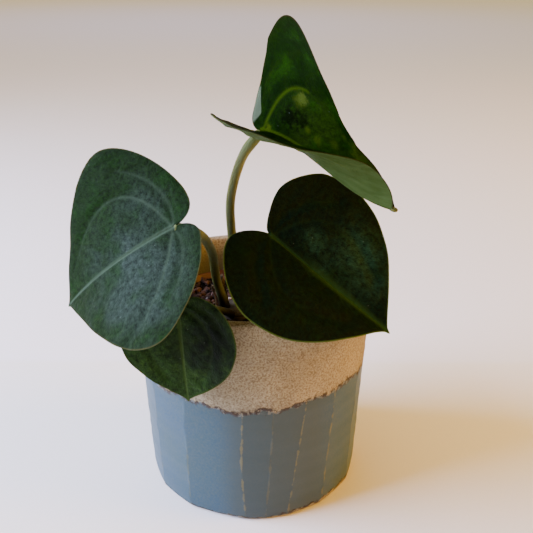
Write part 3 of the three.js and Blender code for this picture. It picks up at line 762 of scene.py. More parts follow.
def leaf_underside(tree, flat, along, line, under, under_light):
    """The paler back of a leaf, greyer behind the joint, with faint stripes of 2 by 14 mm along
    the blade and slightly lighter veins."""
    stripes = add(tree, "TexNoise", {
        "Vector": add(tree, "Mapping", {"Vector": flat, "Scale": (0.14, 1.0, 1.0)}),
        "Scale": 520.0, "Detail": 3.0,
    })
    striped = add(tree, "MapRange", {"Value": stripes, "From Min": 0.3, "From Max": 0.7})
    behind_joint = add(tree, "MapRange", {
        "Value": along, "From Min": 0.002, "From Max": -0.003, "To Max": 0.85,
    })
    veins = add(tree, "Math", {0: line, 1: 0.4}, operation="MULTIPLY")
    skin = linear(under)
    for share, colour in ((striped, under_light), (behind_joint, "#505a46"), (veins, "#68743c")):
        skin = add(tree, "Mix", {
            "Factor": share, "A": skin, "B": linear(colour),
        }, data_type="RGBA")
    return skin


def leaf_skin(leaf, deep, painted_light_colour, fresh, vein, margin, under, under_light, painted_light, crinkle_shade,
              shows, midrib_painted_sheen, sheen, marks_and_painted_light=()):
    """Velvety leaf: deep green with painted light in patches, fresher green patches, painted shade
    in its wrinkles, painted sheen beside the midrib, soft pale veins, a thin pale margin, and a
    smoother, paler underside with faint stripes. LEAF_LOOKS tells what each of the values means."""
    material, tree = new_material(leaf["name"] + "_velvety_leaf")
    flat = add(tree, "UVMap", uv_map="flat_leaf")
    flat = next(s for s in flat.outputs if s.enabled)
    along = add(tree, "SeparateXYZ", {"Vector": flat}).outputs["X"]
    midrib, main, lateral, edge, below = (
        add(tree, "Attribute", attribute_name=name).outputs["Fac"]
        for name in ("midrib", "main_vein", "lateral_vein", "from_margin", "underside")
    )

    # Clouds of 14 mm and 11 mm, crinkles of 2 mm and a grain of half a millimetre.
    cloud = add(tree, "TexNoise", {"Vector": flat, "Scale": 70.0, "Detail": 4.0, "Distortion": 0.5})
    other_cloud = add(tree, "TexNoise", {
        "Vector": flat, "Scale": 95.0, "Detail": 4.0, "W": 3.0,
    }, noise_dimensions="4D")
    patch = add(tree, "TexNoise", {
        "Vector": flat, "Scale": 520.0, "Detail": 5.0, "Roughness": 0.7,
    })
    grain = add(tree, "TexNoise", {"Vector": flat, "Scale": 2100.0, "Detail": 2.0})
    fresh_patch = add(tree, "MapRange", {
        "Value": other_cloud, "From Min": 0.46, "From Max": 0.72, "To Max": 0.75,
    }, interpolation_type="SMOOTHSTEP")
    mottle = add(tree, "Math", {
        0: add(tree, "Math", {0: patch, 1: 2.8, 2: -1.4}, operation="MULTIPLY_ADD"),
        1: add(tree, "Math", {0: grain, 1: 1.1, 2: -0.55}, operation="MULTIPLY_ADD"),
    }, operation="ADD")
    # Painted shade in the wrinkles: the mottle paints the skin darker in spots.
    wrinkle_shade = add(tree, "MapRange", {
        "Value": mottle, "From Min": -0.5, "From Max": 0.5, "To Min": crinkle_shade, "To Max": 0.0,
    })
    lateral_line, main_line = (
        add(tree, "Math", {0: line, 1: plainness}, operation="MULTIPLY")
        for line, plainness in ((lateral, shows[2]), (main, shows[1]))
    )
    midrib_line = add(tree, "MapRange", {
        "Value": midrib, "From Min": 1.8, "From Max": 0.5, "To Max": shows[0],
    }, interpolation_type="SMOOTHSTEP")
    # Painted sheen beside the midrib: the blade is painted lighter there, more and more towards its
    # outer half.
    length = leaf["length"] * MM
    sheen_beside_midrib = add(tree, "Math", {
        0: add(tree, "MapRange", {
            "Value": midrib, "From Min": 6.0, "From Max": 0.0, "To Max": midrib_painted_sheen,
        }, interpolation_type="SMOOTHSTEP"),
        1: add(tree, "MapRange", {
            "Value": along, "From Min": 0.12 * length, "From Max": 0.5 * length,
        }, interpolation_type="SMOOTHSTEP"),
    }, operation="MULTIPLY")
    midrib_and_sheen = add(tree, "Math", {0: midrib_line, 1: sheen_beside_midrib}, operation="MAXIMUM")
    # Painted light in patches: painted sheen on most blades and painted shade on the front blade's
    # right half. Then painted shade in the wrinkles, and the pale veins.
    upper = linear(deep)
    for share, colour in (
        (painted_light_share(tree, flat, cloud, painted_light), painted_light_colour), (fresh_patch, fresh),
        (wrinkle_shade, "#030602"), (lateral_line, vein), (main_line, vein), (midrib_and_sheen, vein),
    ):
        upper = add(tree, "Mix", {
            "Factor": share, "A": upper, "B": linear(colour),
        }, data_type="RGBA")
    # Scars and marks, and on the top blade painted shadow near the joint and painted light near the
    # tip.
    for x, y, reach, colour, strength in marks_and_painted_light:
        away = add(tree, "VectorMath", {
            0: flat, 1: (x * MM, y * MM, 0),
        }, operation="DISTANCE").outputs["Value"]
        wavy = add(tree, "Math", {0: patch, 1: 2.4 * reach * MM, 2: away}, operation="MULTIPLY_ADD")
        upper = add(tree, "Mix", {
            "Factor": add(tree, "MapRange", {
                "Value": wavy, "From Min": 2.5 * reach * MM, "From Max": 1.5 * reach * MM,
                "To Max": strength,
            }, interpolation_type="SMOOTHSTEP"),
            "A": upper, "B": linear(colour),
        }, data_type="RGBA")

    line = add(tree, "Math", {0: midrib_line, 1: main}, operation="MAXIMUM")
    lower = leaf_underside(tree, flat, along, line, under, under_light)
    margin_line = add(tree, "MapRange", {
        "Value": edge, "From Min": 0.7, "From Max": 0.2, "To Max": shows[3],
    }, interpolation_type="SMOOTHSTEP")
    # Specks of dust, a third of a millimetre wide, in about one in twenty cells of 4 mm.
    dust = add(tree, "TexVoronoi", {"Vector": flat, "Scale": 230.0}, voronoi_dimensions="2D")
    speck = add(tree, "Math", {
        0: add(tree, "MapRange", {
            "Value": dust.outputs["Distance"], "From Min": 0.045, "From Max": 0.02, "To Max": 0.25,
        }),
        1: add(tree, "MapRange", {
            "Value": add(tree, "SeparateColor", {"Color": dust.outputs["Color"]}),
            "From Min": 0.95, "From Max": 0.96,
        }),
    }, operation="MULTIPLY")
    skin = upper
    for share, over in ((below, lower), (margin_line, linear(margin)), (speck, linear("#8c948a"))):
        skin = add(tree, "Mix", {"Factor": share, "A": skin, "B": over}, data_type="RGBA")

    rough = add(tree, "MapRange", {
        "Value": patch, "From Min": 0.3, "From Max": 0.7, "To Min": 0.54, "To Max": 0.42,
    })
    height = add(tree, "Math", {
        0: add(tree, "Math", {0: patch, 1: 0.8}, operation="MULTIPLY"),
        1: add(tree, "Math", {0: grain, 1: 0.2}, operation="MULTIPLY"),
    }, operation="ADD")
    bump = add(tree, "Bump", {"Height": height, "Distance": 0.0008, "Strength": 0.8})
    close_material(tree, add(tree, "BsdfPrincipled", {
        "Base Color": skin, "Roughness": rough, "Normal": bump, "Specular IOR Level": sheen,
    }))
    return material


def pale_floor():
    """Matt warm-white table top with a grain of 2 mm, and cooler white paper behind the pot."""
    material, tree = new_material("pale_floor")
    place = add(tree, "TexCoord").outputs["Object"]
    across = add(tree, "SeparateXYZ", {"Vector": place})
    grain = add(tree, "TexNoise", {"Vector": place, "Scale": 500.0, "Detail": 2.0})
    table = add(tree, "Mix", {
        "Factor": grain, "A": linear("#f2eee8"), "B": linear("#f6f2ec"),
    }, data_type="RGBA")
    back = add(tree, "Mix", {
        "Factor": add(tree, "MapRange", {
            "Value": across.outputs["Y"], "From Min": 0.088, "From Max": 0.096,
        }, interpolation_type="SMOOTHSTEP"),
        "A": table, "B": linear("#f6f3f4"),
    }, data_type="RGBA")
    close_material(tree, add(tree, "BsdfPrincipled", {
        "Base Color": back, "Roughness": 0.8, "Specular IOR Level": 0.2,
    }))
    return material


# Cover pot.


def pot_radius(z):
    """The radius of the pot's plain outside at a height."""
    return POT_BASE_RADIUS + (POT_RIM_RADIUS - POT_BASE_RADIUS) * z / POT_HEIGHT


def quarter(x, z, radius, start, end, steps):
    """Points of a profile on part of a circle, from one angle to another."""
    angles = np.radians(np.linspace(start, end, steps + 1))
    return [(x + radius * math.cos(a), z + radius * math.sin(a)) for a in angles]


def crest_angle(crest, z):
    """Where a crest stands at a height, in degrees."""
    top, middle, foot, _ = crest
    return np.interp(z, CREST_HEIGHTS, [foot, middle, top])


def between_crests(places):
    """For points that were spun evenly: the facet of each and the next facet, the degrees of the
    crests on its two sides, and the point's own degrees, moved nearer to them."""
    z = places[:, 2]
    even = np.degrees(np.arctan2(places[:, 0], -places[:, 1])) % 360
    column = np.rint(even / 360 * len(CRESTS) * COLUMNS_A_FACET).astype(int)
    facet = (column // COLUMNS_A_FACET) % len(CRESTS)
    following = (facet + 1) % len(CRESTS)
    here = np.array([crest_angle(crest, z) for crest in CRESTS])
    start = here[facet, np.arange(len(z))]
    end = here[following, np.arange(len(z))] + np.where(following == 0, 360, 0)
    share = (column % COLUMNS_A_FACET) / COLUMNS_A_FACET
    share = share - 0.6 * np.sin(math.tau * share) / math.tau
    return facet, following, start, end, start + (end - start) * share


def cover_pot():
    """The thrown pot: turned from a profile, then cut into facets and made a little uneven."""
    lip = POT_WALL / 2
    corner = pot_radius(POT_FLOOR) - POT_WALL - POT_INSIDE_CORNER
    # The profile: base, foot bevel, outside wall, lip, inside wall, corner and floor.
    profile = [(0, 0), (24, 0)]
    profile += quarter(pot_radius(0) - POT_FOOT_BEVEL, POT_FOOT_BEVEL, POT_FOOT_BEVEL, -90, 0, 6)
    profile += [(pot_radius(z), z) for z in np.linspace(4.5, POT_HEIGHT - lip - 1, 56)]
    profile += quarter(pot_radius(POT_HEIGHT) - lip, POT_HEIGHT - lip, lip, 0, 180, 10)
    profile += [(pot_radius(z) - POT_WALL, z) for z in np.linspace(93, 13, 30)]
    profile += quarter(corner, POT_FLOOR + POT_INSIDE_CORNER, POT_INSIDE_CORNER, 0, -90, 5)
    profile += [(20, POT_FLOOR), (0, POT_FLOOR)]
    bm = turned(profile, len(CRESTS) * COLUMNS_A_FACET)
    pot = piece("stoneware_pot", bm, stoneware(), "stoneware", "cover_pot", sharp=60)
    mesh = pot.data
    places = places_of(mesh) / MM
    radius = np.hypot(places[:, 0], places[:, 1])
    z = places[:, 2]
    facet, following, start, end, degrees = between_crests(places)
    angle = np.radians(degrees)
    flat = np.cos(np.radians((end - start) / 2)) / np.cos(np.radians(degrees - (start + end) / 2))

    inner = pot_radius(z) - POT_WALL
    outside = (radius > inner + lip) & (z < FACETS_FADE_TO)
    facet_share = np.where(outside, 1 - smooth(z, FACETS_FADE_FROM, FACETS_FADE_TO), 0)
    facets = 1 + ((flat - 1) * FACET_FLATNESS + FACET_CREST / POT_BASE_RADIUS) * facet_share
    rise = smooth(z, POT_FLOOR + POT_INSIDE_CORNER, POT_HEIGHT)
    moved = radius > pot_radius(0) - POT_WALL - 0.1
    wobble = 0.35 * np.sin(2 * angle + 0.8) + 0.2 * np.sin(5 * angle + 2)
    # Throwing rings above the border and inside, and knife marks on the facets.
    rings = 0.1 * np.sin(z * 1.25 + 2 * np.sin(angle)) + 0.07 * np.sin(z * 2.1 + angle * 3)
    knife = 0.09 * np.sin(z * 0.33 + facet * 2.1) + 0.05 * np.sin(z * 0.9 + facet * 5.3)
    marks = np.where(facet_share > 0, knife * facet_share, rings) * smooth(z, 3, 8)
    marks *= np.where(z > POT_HEIGHT - 3, 0.3, 1)
    out = radius * facets + np.where(moved, wobble * rise + marks, 0)
    places[:, 0] = out * np.sin(angle)
    places[:, 1] = -out * np.cos(angle)
    places[:, 2] = z + rise * 0.5 * np.sin(3 * angle + 1) * smooth(z, 80, POT_HEIGHT)
    mesh.vertices.foreach_set("co", (places * MM).ravel())

    # What the glaze reads: millimetres from border, crest and foot, how plain the crest's line is,
    # where the wall is inside, which is given painted shade, and where the glaze is thin.
    well_above = 30
    turn = (degrees + 180) % 360 - 180
    border = np.interp(turn, *np.array(GLAZE_BORDER).T)
    is_outer = radius > inner + lip - 0.01
    note(mesh, "above_border", np.where(is_outer, z - border, well_above))
    to_start = (degrees - start) * math.pi / 180 * out
    to_end = (end - degrees) * math.pi / 180 * out
    note(mesh, "from_crest", np.minimum(to_start, to_end))
    strengths = np.array([crest[3] for crest in CRESTS])
    strength = np.where(to_start < to_end, strengths[facet], strengths[following])
    nearest = np.where(to_start < to_end, facet, following)
    fading = strength * (1 - smooth(z, CREST_FADES_FROM, CREST_GONE_AT))
    note(mesh, "crest_shown", np.where(nearest == FADING_CREST, fading, strength))
    note(mesh, "inside", np.where(is_outer, 0, smooth(z, POT_HEIGHT + 0.5, POT_HEIGHT - 14)))
    note(mesh, "above_foot", np.where(is_outer, z, well_above))
    note(mesh, "thin_glaze", smooth(turn, -20, -5) * (1 - smooth(turn, 30, 50)))
    mesh.update()


# Potting mix.


def mix_height(x, y):
    """How high the mix lies at a place."""
    radius = np.hypot(x, y)
    rough = (
        np.sin(x * 0.61 + 1.3 * np.sin(y * 0.37)) * 0.5
        + np.sin(y * 0.74 + 1.7 * np.sin(x * 0.29)) * 0.3
        + np.sin(x * 1.7 + y * 1.3) * 0.2
    )
    inward = 1 - smooth(radius, MIX_RADIUS - 2.5, MIX_RADIUS)
    return MIX_LEVEL + inward * (0.8 * (1 - radius / MIX_RADIUS) + 1.0 * rough)


def potting_mix():
    """The body of the mix, with a lumpy top, and a pit that stands off the pot's middle."""
    rows = 40
    profile = [(0, MIX_FLOOR), (NURSERY_BASE_RADIUS - NURSERY_WALL - GAP, MIX_FLOOR)]
    profile += [(MIX_RADIUS, MIX_SHOULDER)]
    profile += [(radius, MIX_LEVEL) for radius in np.linspace(MIX_RADIUS + 0.2, PIT_RADIUS, rows)]
    profile += [(PIT_RADIUS - 0.15, PIT_WAIST), (PIT_RADIUS - 0.3, PIT_FLOOR), (0, PIT_FLOOR)]
    bm = turned(profile, 112)
    for vert in bm.verts:
        x, y, z = vert.co
        radius = math.hypot(x, y)
        if z < PIT_FLOOR - 1 or (z < MIX_SHOULDER + 1 and radius > MIX_RADIUS - 1):
            continue
        share = min(max((MIX_RADIUS - radius) / (MIX_RADIUS - PIT_RADIUS), 0), 1)
        vert.co.x = x + CROWN_X * share
        vert.co.y = y + CROWN_Y * share
        if z > MIX_LEVEL - 0.01:
            level = mix_height(vert.co.x, vert.co.y)
            lump = noise.fractal(vert.co * 0.5, 1.0, 2.0, 3) * 0.9 if radius < MIX_RADIUS else 0
            vert.co.z = level + lump
    piece("peaty_mix", bm, damp_and_shaded_mix(), "potting_mix", "potting_mix", sharp=180)


def scatter(name, material, count, sizes, flatness, seed, detail, fixed):
    """Loose bits that lie on the mix, each turned and broken its own way."""
    chance = random.Random(seed)
    bm = bmesh.new()
    tones = []
    spots = list(fixed)
    while len(spots) < count:
        x = chance.uniform(-MIX_REACH, MIX_REACH)
        y = chance.uniform(-MIX_REACH, MIX_REACH)
        if math.hypot(x, y) > MIX_RADIUS - 1.6:
            continue
        if math.hypot(x - CROWN_X, y - CROWN_Y) < CROWN_RADIUS + 0.9:
            continue
        spots.append((x, y, sizes[0] + (sizes[1] - sizes[0]) * chance.random() ** 2))
    for x, y, size in spots:
        before = len(bm.verts)
        long, wide, thick = size, size * chance.uniform(0.5, 0.9), size * chance.uniform(*flatness)
        lean = Matrix.Rotation(chance.uniform(-0.6, 0.6), 4, "X")
        lean = Matrix.Rotation(chance.uniform(-0.6, 0.6), 4, "Y") @ lean
        turn = Matrix.Rotation(chance.uniform(0, math.tau), 4, "Z") @ lean
        z = mix_height(x, y) + thick * chance.uniform(0.0, 0.5)
        place = Matrix.Translation((x, y, z)) @ turn @ Matrix.Diagonal((long, wide, thick, 1))
        made = bmesh.ops.create_icosphere(bm, subdivisions=detail, radius=0.62, matrix=place)
        broken = 0.16 * size
        for vert in made["verts"]:
            vert.co += Vector([chance.uniform(-broken, broken) for _ in range(3)])
        tones += [chance.random() ** 1.6] * (len(bm.verts) - before)
    bmesh.ops.recalc_face_normals(bm, faces=bm.faces)
    made = piece(name, bm, material, "potting_mix", sharp=30)
    note(made.data, "tone", tones)


# Crown, stalks and scale leaves.


def rolled(points, columns, rows, section):
    """A closed tube along a smooth curve, whose points know how far along they are and how much
    they face right. section gives the tube's radius for every angle and share."""
    bm = sheet(columns, rows)
    flat = np.array([vert.co for vert in bm.verts])
    angle = flat[:, 0] * math.tau
    share = np.clip(flat[:, 1], 0, 1)
    centre, onward = smooth_curve(points, share)
    facing, sideways = ways_round(onward, np.array([1.0, 0.0, 0.0]))
    is_end = (share < 1e-6) | (share > 1 - 1e-6)
    radius = np.where(is_end, 0, section(angle, share))
    places = centre + facing * (radius * np.cos(angle))[:, None]
    lay(bm, places + sideways * (radius * np.sin(angle))[:, None])
    layer = bm.verts.layers.float.new("along")
    side_layer = bm.verts.layers.float.new("right_side")
    for vert, s, turn in zip(bm.verts, share, angle):
        vert[layer] = s
        vert[side_layer] = 0.5 + 0.5 * math.cos(turn)
    close_up(bm, 1e-5)
    return bm


def crown():
    """The short stem: ringed up its side, domed, and lumpy where it stands out of the mix."""
    profile = [(0, CROWN_FOOT)]
    for i, z in enumerate(np.linspace(CROWN_FOOT, CROWN_TOP - 4.6, 26)):
        ring = 0.45 * math.sin(z * 2.1) ** 2
        profile.append((CROWN_RADIUS - 0.1 - ring - (1.2 if i == 0 else 0), z))
    for angle in np.radians(np.linspace(12, 90, 10)):
        height = CROWN_TOP - 4.2 + 4 * math.sin(angle)
        profile.append((CROWN_RADIUS * math.cos(angle) * 0.97, height))
    profile[-1] = (0, profile[-1][1])
    bm = turned(profile, 64)
    for vert in bm.verts:
        if vert.co.z > CROWN_LUMPY_FROM:
            lump = noise.noise(vert.co * 0.35) * 0.35
            vert.co += Vector((vert.co.x, vert.co.y, 0)) * (lump / CROWN_RADIUS)
    bmesh.ops.translate(bm, vec=(CROWN_X, CROWN_Y, 0), verts=bm.verts)
    piece("ringed_crown", bm, crown_skin(), "leaf_stalk", "crown")


def stalk(leaf, skin):
    """A stalk from the crown to the blade's joint, wider at its foot and swollen at the knee."""
    joint = np.array(leaf["joint"], dtype=float)
    out = surface(leaf, np.zeros(1), np.full(1, 1e-6))[1][0]
    points = leaf["stalk"] + [tuple(joint - out * BLADE_THICKNESS / 2)]
    radius = leaf["stalk_radius"]

    def section(angle, share):
        """The stalk's radius at an angle round it and a share of its length."""
        sheath = 0.3 * (1 - smooth(share, 0, 0.3))
        knee = 0.14 * smooth(share, 0.84, 0.92) - 0.3 * smooth(share, 0.965, 1)
        size = radius * (1 + sheath + knee)
        ridges = 0.02 * np.sin(5 * angle + 2 * share) + 0.012 * np.sin(11 * angle)
        wrinkles = 0.012 * np.sin(share * 420) * smooth(share, 0.86, 0.93)
        dome = np.sqrt(np.clip(1 - ((0.006 - share) / 0.006).clip(0, 1) ** 2, 0, 1))
        return size * (1 + ridges + wrinkles) * np.where(share < 0.006, dome, 1)

    bm = rolled(points, 28, 120, section)
    name = leaf["name"]
    piece(name + "_stalk_skin", bm, skin, "leaf_stalk", name + "_leaf_stalk")


def scale_leaf(name, width, path, skin):
    """A split papery sheath: a thin strip, hollowed towards the stalk, torn to a point."""
    bm = sheet(18, 60)
    flat = np.array([vert.co for vert in bm.verts])
    across, share = flat[:, 0] * 2 - 1, flat[:, 1]
    centre, onward = smooth_curve(path, share)
    away = np.array([path[0][0] - CROWN_X, path[0][1] - CROWN_Y, 0.0])
    facing, sideways = ways_round(onward, away)
    half = width / 2 * np.sqrt(np.clip(1 - 0.97 * share, 0, 1))
    half = half * (1 + 0.12 * np.sin(share * 31 + across * 2) * share)
    cup = 0.9 * (1 - across ** 2) * half / (width / 2) - 0.35
    curl_back = 1.1 * smooth(share, 0.7, 1) * across ** 2 * 0.5
    fibre = 0.06 * np.sin(across * 19)
    places = centre + sideways * (across * half)[:, None]
    lay(bm, places + facing * (0.35 * cup + fibre + curl_back)[:, None])
    bmesh.ops.recalc_face_normals(bm, faces=bm.faces)
    bmesh.ops.solidify(bm, geom=bm.faces[:], thickness=SCALE_LEAF_THICKNESS)
    close_up(bm, 1e-5)
    piece(name + "_papery_sheath", bm, skin, "scale_leaf", "scale_leaf_" + name)


# Leaf blades.


def margin_of(outline, count):
    """The margin of one half of the flat heart from tip to sinus, closer together at the tip."""
    half, widest, lobe, spread, taper, flare, shoulder = outline
    body = 1 - TIP_POINT
    shares = np.linspace(0, 1, 240)
    curves = [
        [(body, 0), (body - taper, flare), (widest + shoulder, half), (widest, half)],
        [(widest, half), (widest - 0.2, half), (-lobe, spread + 0.17), (-lobe, spread)],
        [(-lobe, spread), (-lobe, spread - 0.09), (-SINUS - 0.03, 0), (-SINUS, 0)],
    ]
    line = np.vstack([bezier(curve, shares)[min(i, 1):] for i, curve in enumerate(curves)])
    line[:, 0] += TIP_POINT * np.exp(-(line[:, 1] / 0.013) ** 2) * (line[:, 0] > 0.5)
    even = np.linspace(0, 1, count + 1)
    return evenly(line, even * (0.6 + 0.4 * even))


def bent(leaf, x, y):
    """Where points of the flat heart lie on the bent blade."""
    length = leaf["length"]
    is_left = y >= 0
    sign = np.where(is_left, 1.0, -1.0)

    def pick(pair):
        """The left or the right value, by each point's half."""
        return np.where(is_left, pair[0], pair[1])

    half = pick((leaf["outline"][0], leaf.get("right_outline", leaf["outline"])[0]))

    heading, pitch, roll = (math.radians(leaf[k]) for k in ("heading", "pitch", "roll"))
    along = np.array([
        math.cos(pitch) * math.cos(heading), math.cos(pitch) * math.sin(heading), math.sin(pitch),
    ])
    level = np.array([-math.sin(heading), math.cos(heading), 0])
    square = np.cross(along, level)
    left = level * math.cos(roll) + square * math.sin(roll)
    normal = square * math.cos(roll) - level * math.sin(roll)

    shares = np.linspace(0, 1.03, 300)
    slopes = np.radians(leaf["droop"] * shares + leaf["sag"] * np.sin(math.pi * shares))
    step = shares[1] * length
    ahead = np.concatenate([[0], np.cumsum((np.cos(slopes[1:]) + np.cos(slopes[:-1])) / 2 * step)])
    rise = -np.concatenate([[0], np.cumsum((np.sin(slopes[1:]) + np.sin(slopes[:-1])) / 2 * step)])
    lobe_slope = np.radians(pick(leaf["lobe_droop"])) * x
    behind = x * length * np.sinc(lobe_slope / math.pi)
    forward = np.where(x > 0, np.interp(x, shares, ahead), behind)
    sunk = x * length * np.sin(lobe_slope / 2) * np.sinc(lobe_slope / math.tau)
    up = np.where(x > 0, np.interp(x, shares, rise), -sunk)
    slope = np.where(x > 0, np.interp(x, shares, slopes), lobe_slope)

    share = np.maximum(x, -0.3)
    left_fold = leaf["fold"][0] + leaf["fold_gain"][0] * share
    right_fold = leaf["fold"][1] + leaf["fold_gain"][1] * share
    left_fold = left_fold - np.maximum(0, left_fold + right_fold - (180 - LEAST_OPENING))
    mine = np.radians(pick((left_fold, right_fold)))
    other = np.radians(pick((right_fold, left_fold)))
    curl = np.radians(pick(leaf["curl"]) + pick(leaf["curl_gain"]) * share)
    # The right half can lose its curl from the lobe to some way along; its fold makes up for it.
    much, full_to, gone_at = leaf.get("flat_lobe", (0, 0, 1))
    flatter = np.where(is_left, 0, much * (1 - smooth(x, full_to, gone_at)))
    reach_share = np.interp(x, [-0.07, 0, 0.1, 0.2, 0.3, 0.5, 0.6, 0.8, 1],
                            [0.27, 0.57, 0.81, 0.95, 1, 0.92, 0.85, 0.63, 0.1])
    mine = mine + curl * flatter * reach_share / 2
    curl = curl * (1 - flatter)
    bow = curl / (half * length)
    reach = np.abs(y) * length
    # The fold is round, not creased: it turns over a short way each side of the midrib.
    rounding = np.maximum(0.8, FOLD_RADIUS * np.abs(mine + other) / 2)
    inner = np.minimum(reach, rounding)
    steps = (np.arange(12) + 0.5) / 12
    s = inner[:, None] * steps
    ease = smooth(s / rounding[:, None], 0, 1)
    start = (mine - other) / 2
    lean = start[:, None] + (mine - start)[:, None] * ease + bow[:, None] * s
    across = np.cos(lean).mean(1) * inner
    lift = np.sin(lean).mean(1) * inner
    outer = reach - inner
    # Past its steepest lean the left half runs on straight.
    steepest = math.radians(leaf.get("steepest", 360))
    curved = (steepest - mine) / np.maximum(bow, 1e-6) - inner
    curved = np.where(is_left & (bow > 0), np.clip(curved, 0, outer), outer)
    turn = bow * curved / 2
    chord = curved * np.sinc(turn / math.pi)
    middle = mine + bow * inner + turn
    last = mine + bow * (inner + curved)
    across = (across + chord * np.cos(middle) + (outer - curved) * np.cos(last)) * sign
    lift = lift + chord * np.sin(middle) + (outer - curved) * np.sin(last)

    twist = np.radians(leaf["twist"] * x)[:, None]
    squares = along * np.sin(slope)[:, None] + normal * np.cos(slope)[:, None]
    lefts = left * np.cos(twist) + squares * np.sin(twist)
    risen = squares * np.cos(twist) - left * np.sin(twist)
    return (
        np.array(leaf["joint"]) + along * forward[:, None] + normal * up[:, None]
        + lefts * across[:, None] + risen * lift[:, None]
    )


def surface(leaf, x, y):
    """Places on the bent blade and the way its upper face points there."""
    e = 2e-4
    onward = bent(leaf, x + e, y) - bent(leaf, x - e, y)
    leftward = bent(leaf, x, y + e) - bent(leaf, x, y - e)
    return bent(leaf, x, y), unit(np.cross(onward, leftward))


def away_from(line, points):
    """How far each point is from a line of short pieces."""
    least = np.full(len(points), 9.0)
    for a, b in zip(line, line[1:]):
        side = b - a
        share = np.clip((points - a) @ side / (side @ side), 0, 1)
        least = np.minimum(least, np.linalg.norm(points - a - share[:, None] * side, axis=1))
    return least


def flat_blade(leaf):
    """The flat heart as a closed thin sheet, with the places of its points in lengths from joint
    to tip, and how far each point is from the margin in millimetres."""
    length = leaf["length"]
    columns, rings = BLADE_COLUMNS, BLADE_RINGS
    if length < SMALL_BLADE:
        columns, rings = SMALL_BLADE_COLUMNS, SMALL_BLADE_RINGS
    left_margin = margin_of(leaf["outline"], columns // 2)
    right_margin = margin_of(leaf.get("right_outline", leaf["outline"]), columns // 2)
    margin = np.vstack([left_margin, right_margin[-2::-1] * [1, -1]])
    bm = sheet(columns, rings)
    edge_layer = bm.verts.layers.float.new("from_margin")
    for vert in bm.verts:
        point = margin[round(vert.co.x * columns)]
        share = vert.co.y
        vert.co = (point[0] * share, point[1] * share, 0)
        vert[edge_layer] = (1 - share) * length * float(np.hypot(*point))
    bmesh.ops.remove_doubles(bm, verts=bm.verts, dist=1e-6)
    bmesh.ops.recalc_face_normals(bm, faces=bm.faces)
    if sum(face.normal.z for face in bm.faces) < 0:
        bmesh.ops.reverse_faces(bm, faces=bm.faces[:])
    bmesh.ops.solidify(bm, geom=bm.faces[:], thickness=0.01)
    bm.verts.ensure_lookup_table()
    flat = np.array([vert.co for vert in bm.verts])
    return bm, flat, np.array([vert[edge_layer] for vert in bm.verts])


def veins_of(leaf, x, y):
    """For each point of the flat heart: how plainly a main vein shows there, and how far it is to
    a main vein that lies in a dip and to a lateral vein, in lengths from joint to tip."""
    near = np.stack([x, np.abs(y)], axis=1)
    fit = np.array([1, leaf["outline"][0] / VEINED_HALF])
    shares = np.linspace(0, 1, 25)
    main_vein = np.zeros(len(x))
    to_dip = np.full(len(x), 9.0)
    for is_half in (y >= 0, y < 0):
        from_joint = np.hypot(x, y)[is_half]
        for i, (corners, wide, plainness) in enumerate(MAIN_VEINS):
            if i == 0 and is_half[y >= 0].any():
                corners = leaf.get("left_vein", corners)
            away = away_from(bezier(corners, shares) * fit, near[is_half])
            if i < DIPPED_VEINS:
                to_dip[is_half] = np.minimum(to_dip[is_half], away)
            taper = 1 - 0.5 * from_joint
            plainness = plainness * leaf["veins_show"][i]
            shown = plainness * np.exp(-(away * leaf["length"] / (wide * taper)) ** 2)
            shown = shown * (1 - 0.55 * smooth(from_joint, 0.3, 0.65))
            main_vein[is_half] = np.maximum(main_vein[is_half], shown)
    to_lateral = np.min([
        away_from(bezier(vein, shares) * fit, near) for vein in LATERAL_VEINS
    ], axis=0)
    return main_vein, to_dip, to_lateral


def relief(leaf, x, y, edge, main_vein, to_dip, to_lateral):
    """How far the upper and the lower face stand off the smooth bent blade: dips along the side
    veins, a groove above and a rib below the midrib, small dips along the lateral veins, and a
    gently puckered sheet with a wavy margin."""
    length, seed = leaf["length"], leaf["seed"]
    aside = np.abs(y) * length
    along = np.clip(x, 0, 1)
    calm = smooth(aside, 0.3, 2.2)
    dip = -0.7 * np.exp(-(to_dip / 0.045) ** 2) * calm
    lateral_dip = -0.12 * np.exp(-(to_lateral * length / 0.9) ** 2) * calm
    rib = 0.85 * (1 - 0.8 * along) * np.exp(-(aside / 1.0) ** 2) * smooth(x, -0.04, 0)
    groove = 0.3 * (1 - 0.7 * along) * np.exp(-(aside / 0.5) ** 2)
    side_ridge = 0.3 * main_vein * calm
    chance = random.Random(seed)
    ripples = 14
    pucker = np.zeros(len(x))
    for _ in range(ripples):
        way = chance.uniform(0, math.tau)
        turns = chance.uniform(0.5, 1.1)
        wave = (x * math.cos(way) + y * math.sin(way)) * length * turns
        pucker += np.sin(wave + chance.uniform(0, math.tau)) / ripples
    margin_way = np.arctan2(y, x - 0.2)
    waves = np.sin(margin_way * 9 + seed) * 0.6 + np.sin(margin_way * 15 + 2 * seed) * 0.4
    waves = 0.3 * waves * smooth(edge, 7, 0) * smooth(np.hypot(x - 1, y), 0.05, 0.2)
    common = dip + lateral_dip + 0.28 * pucker * calm * smooth(edge, 0, 2) + waves
    thickness = BLADE_THICKNESS * (0.45 + 0.55 * smooth(edge, 0, 2.5))
    return common + thickness / 2 - groove, common - thickness / 2 - rib - side_ridge


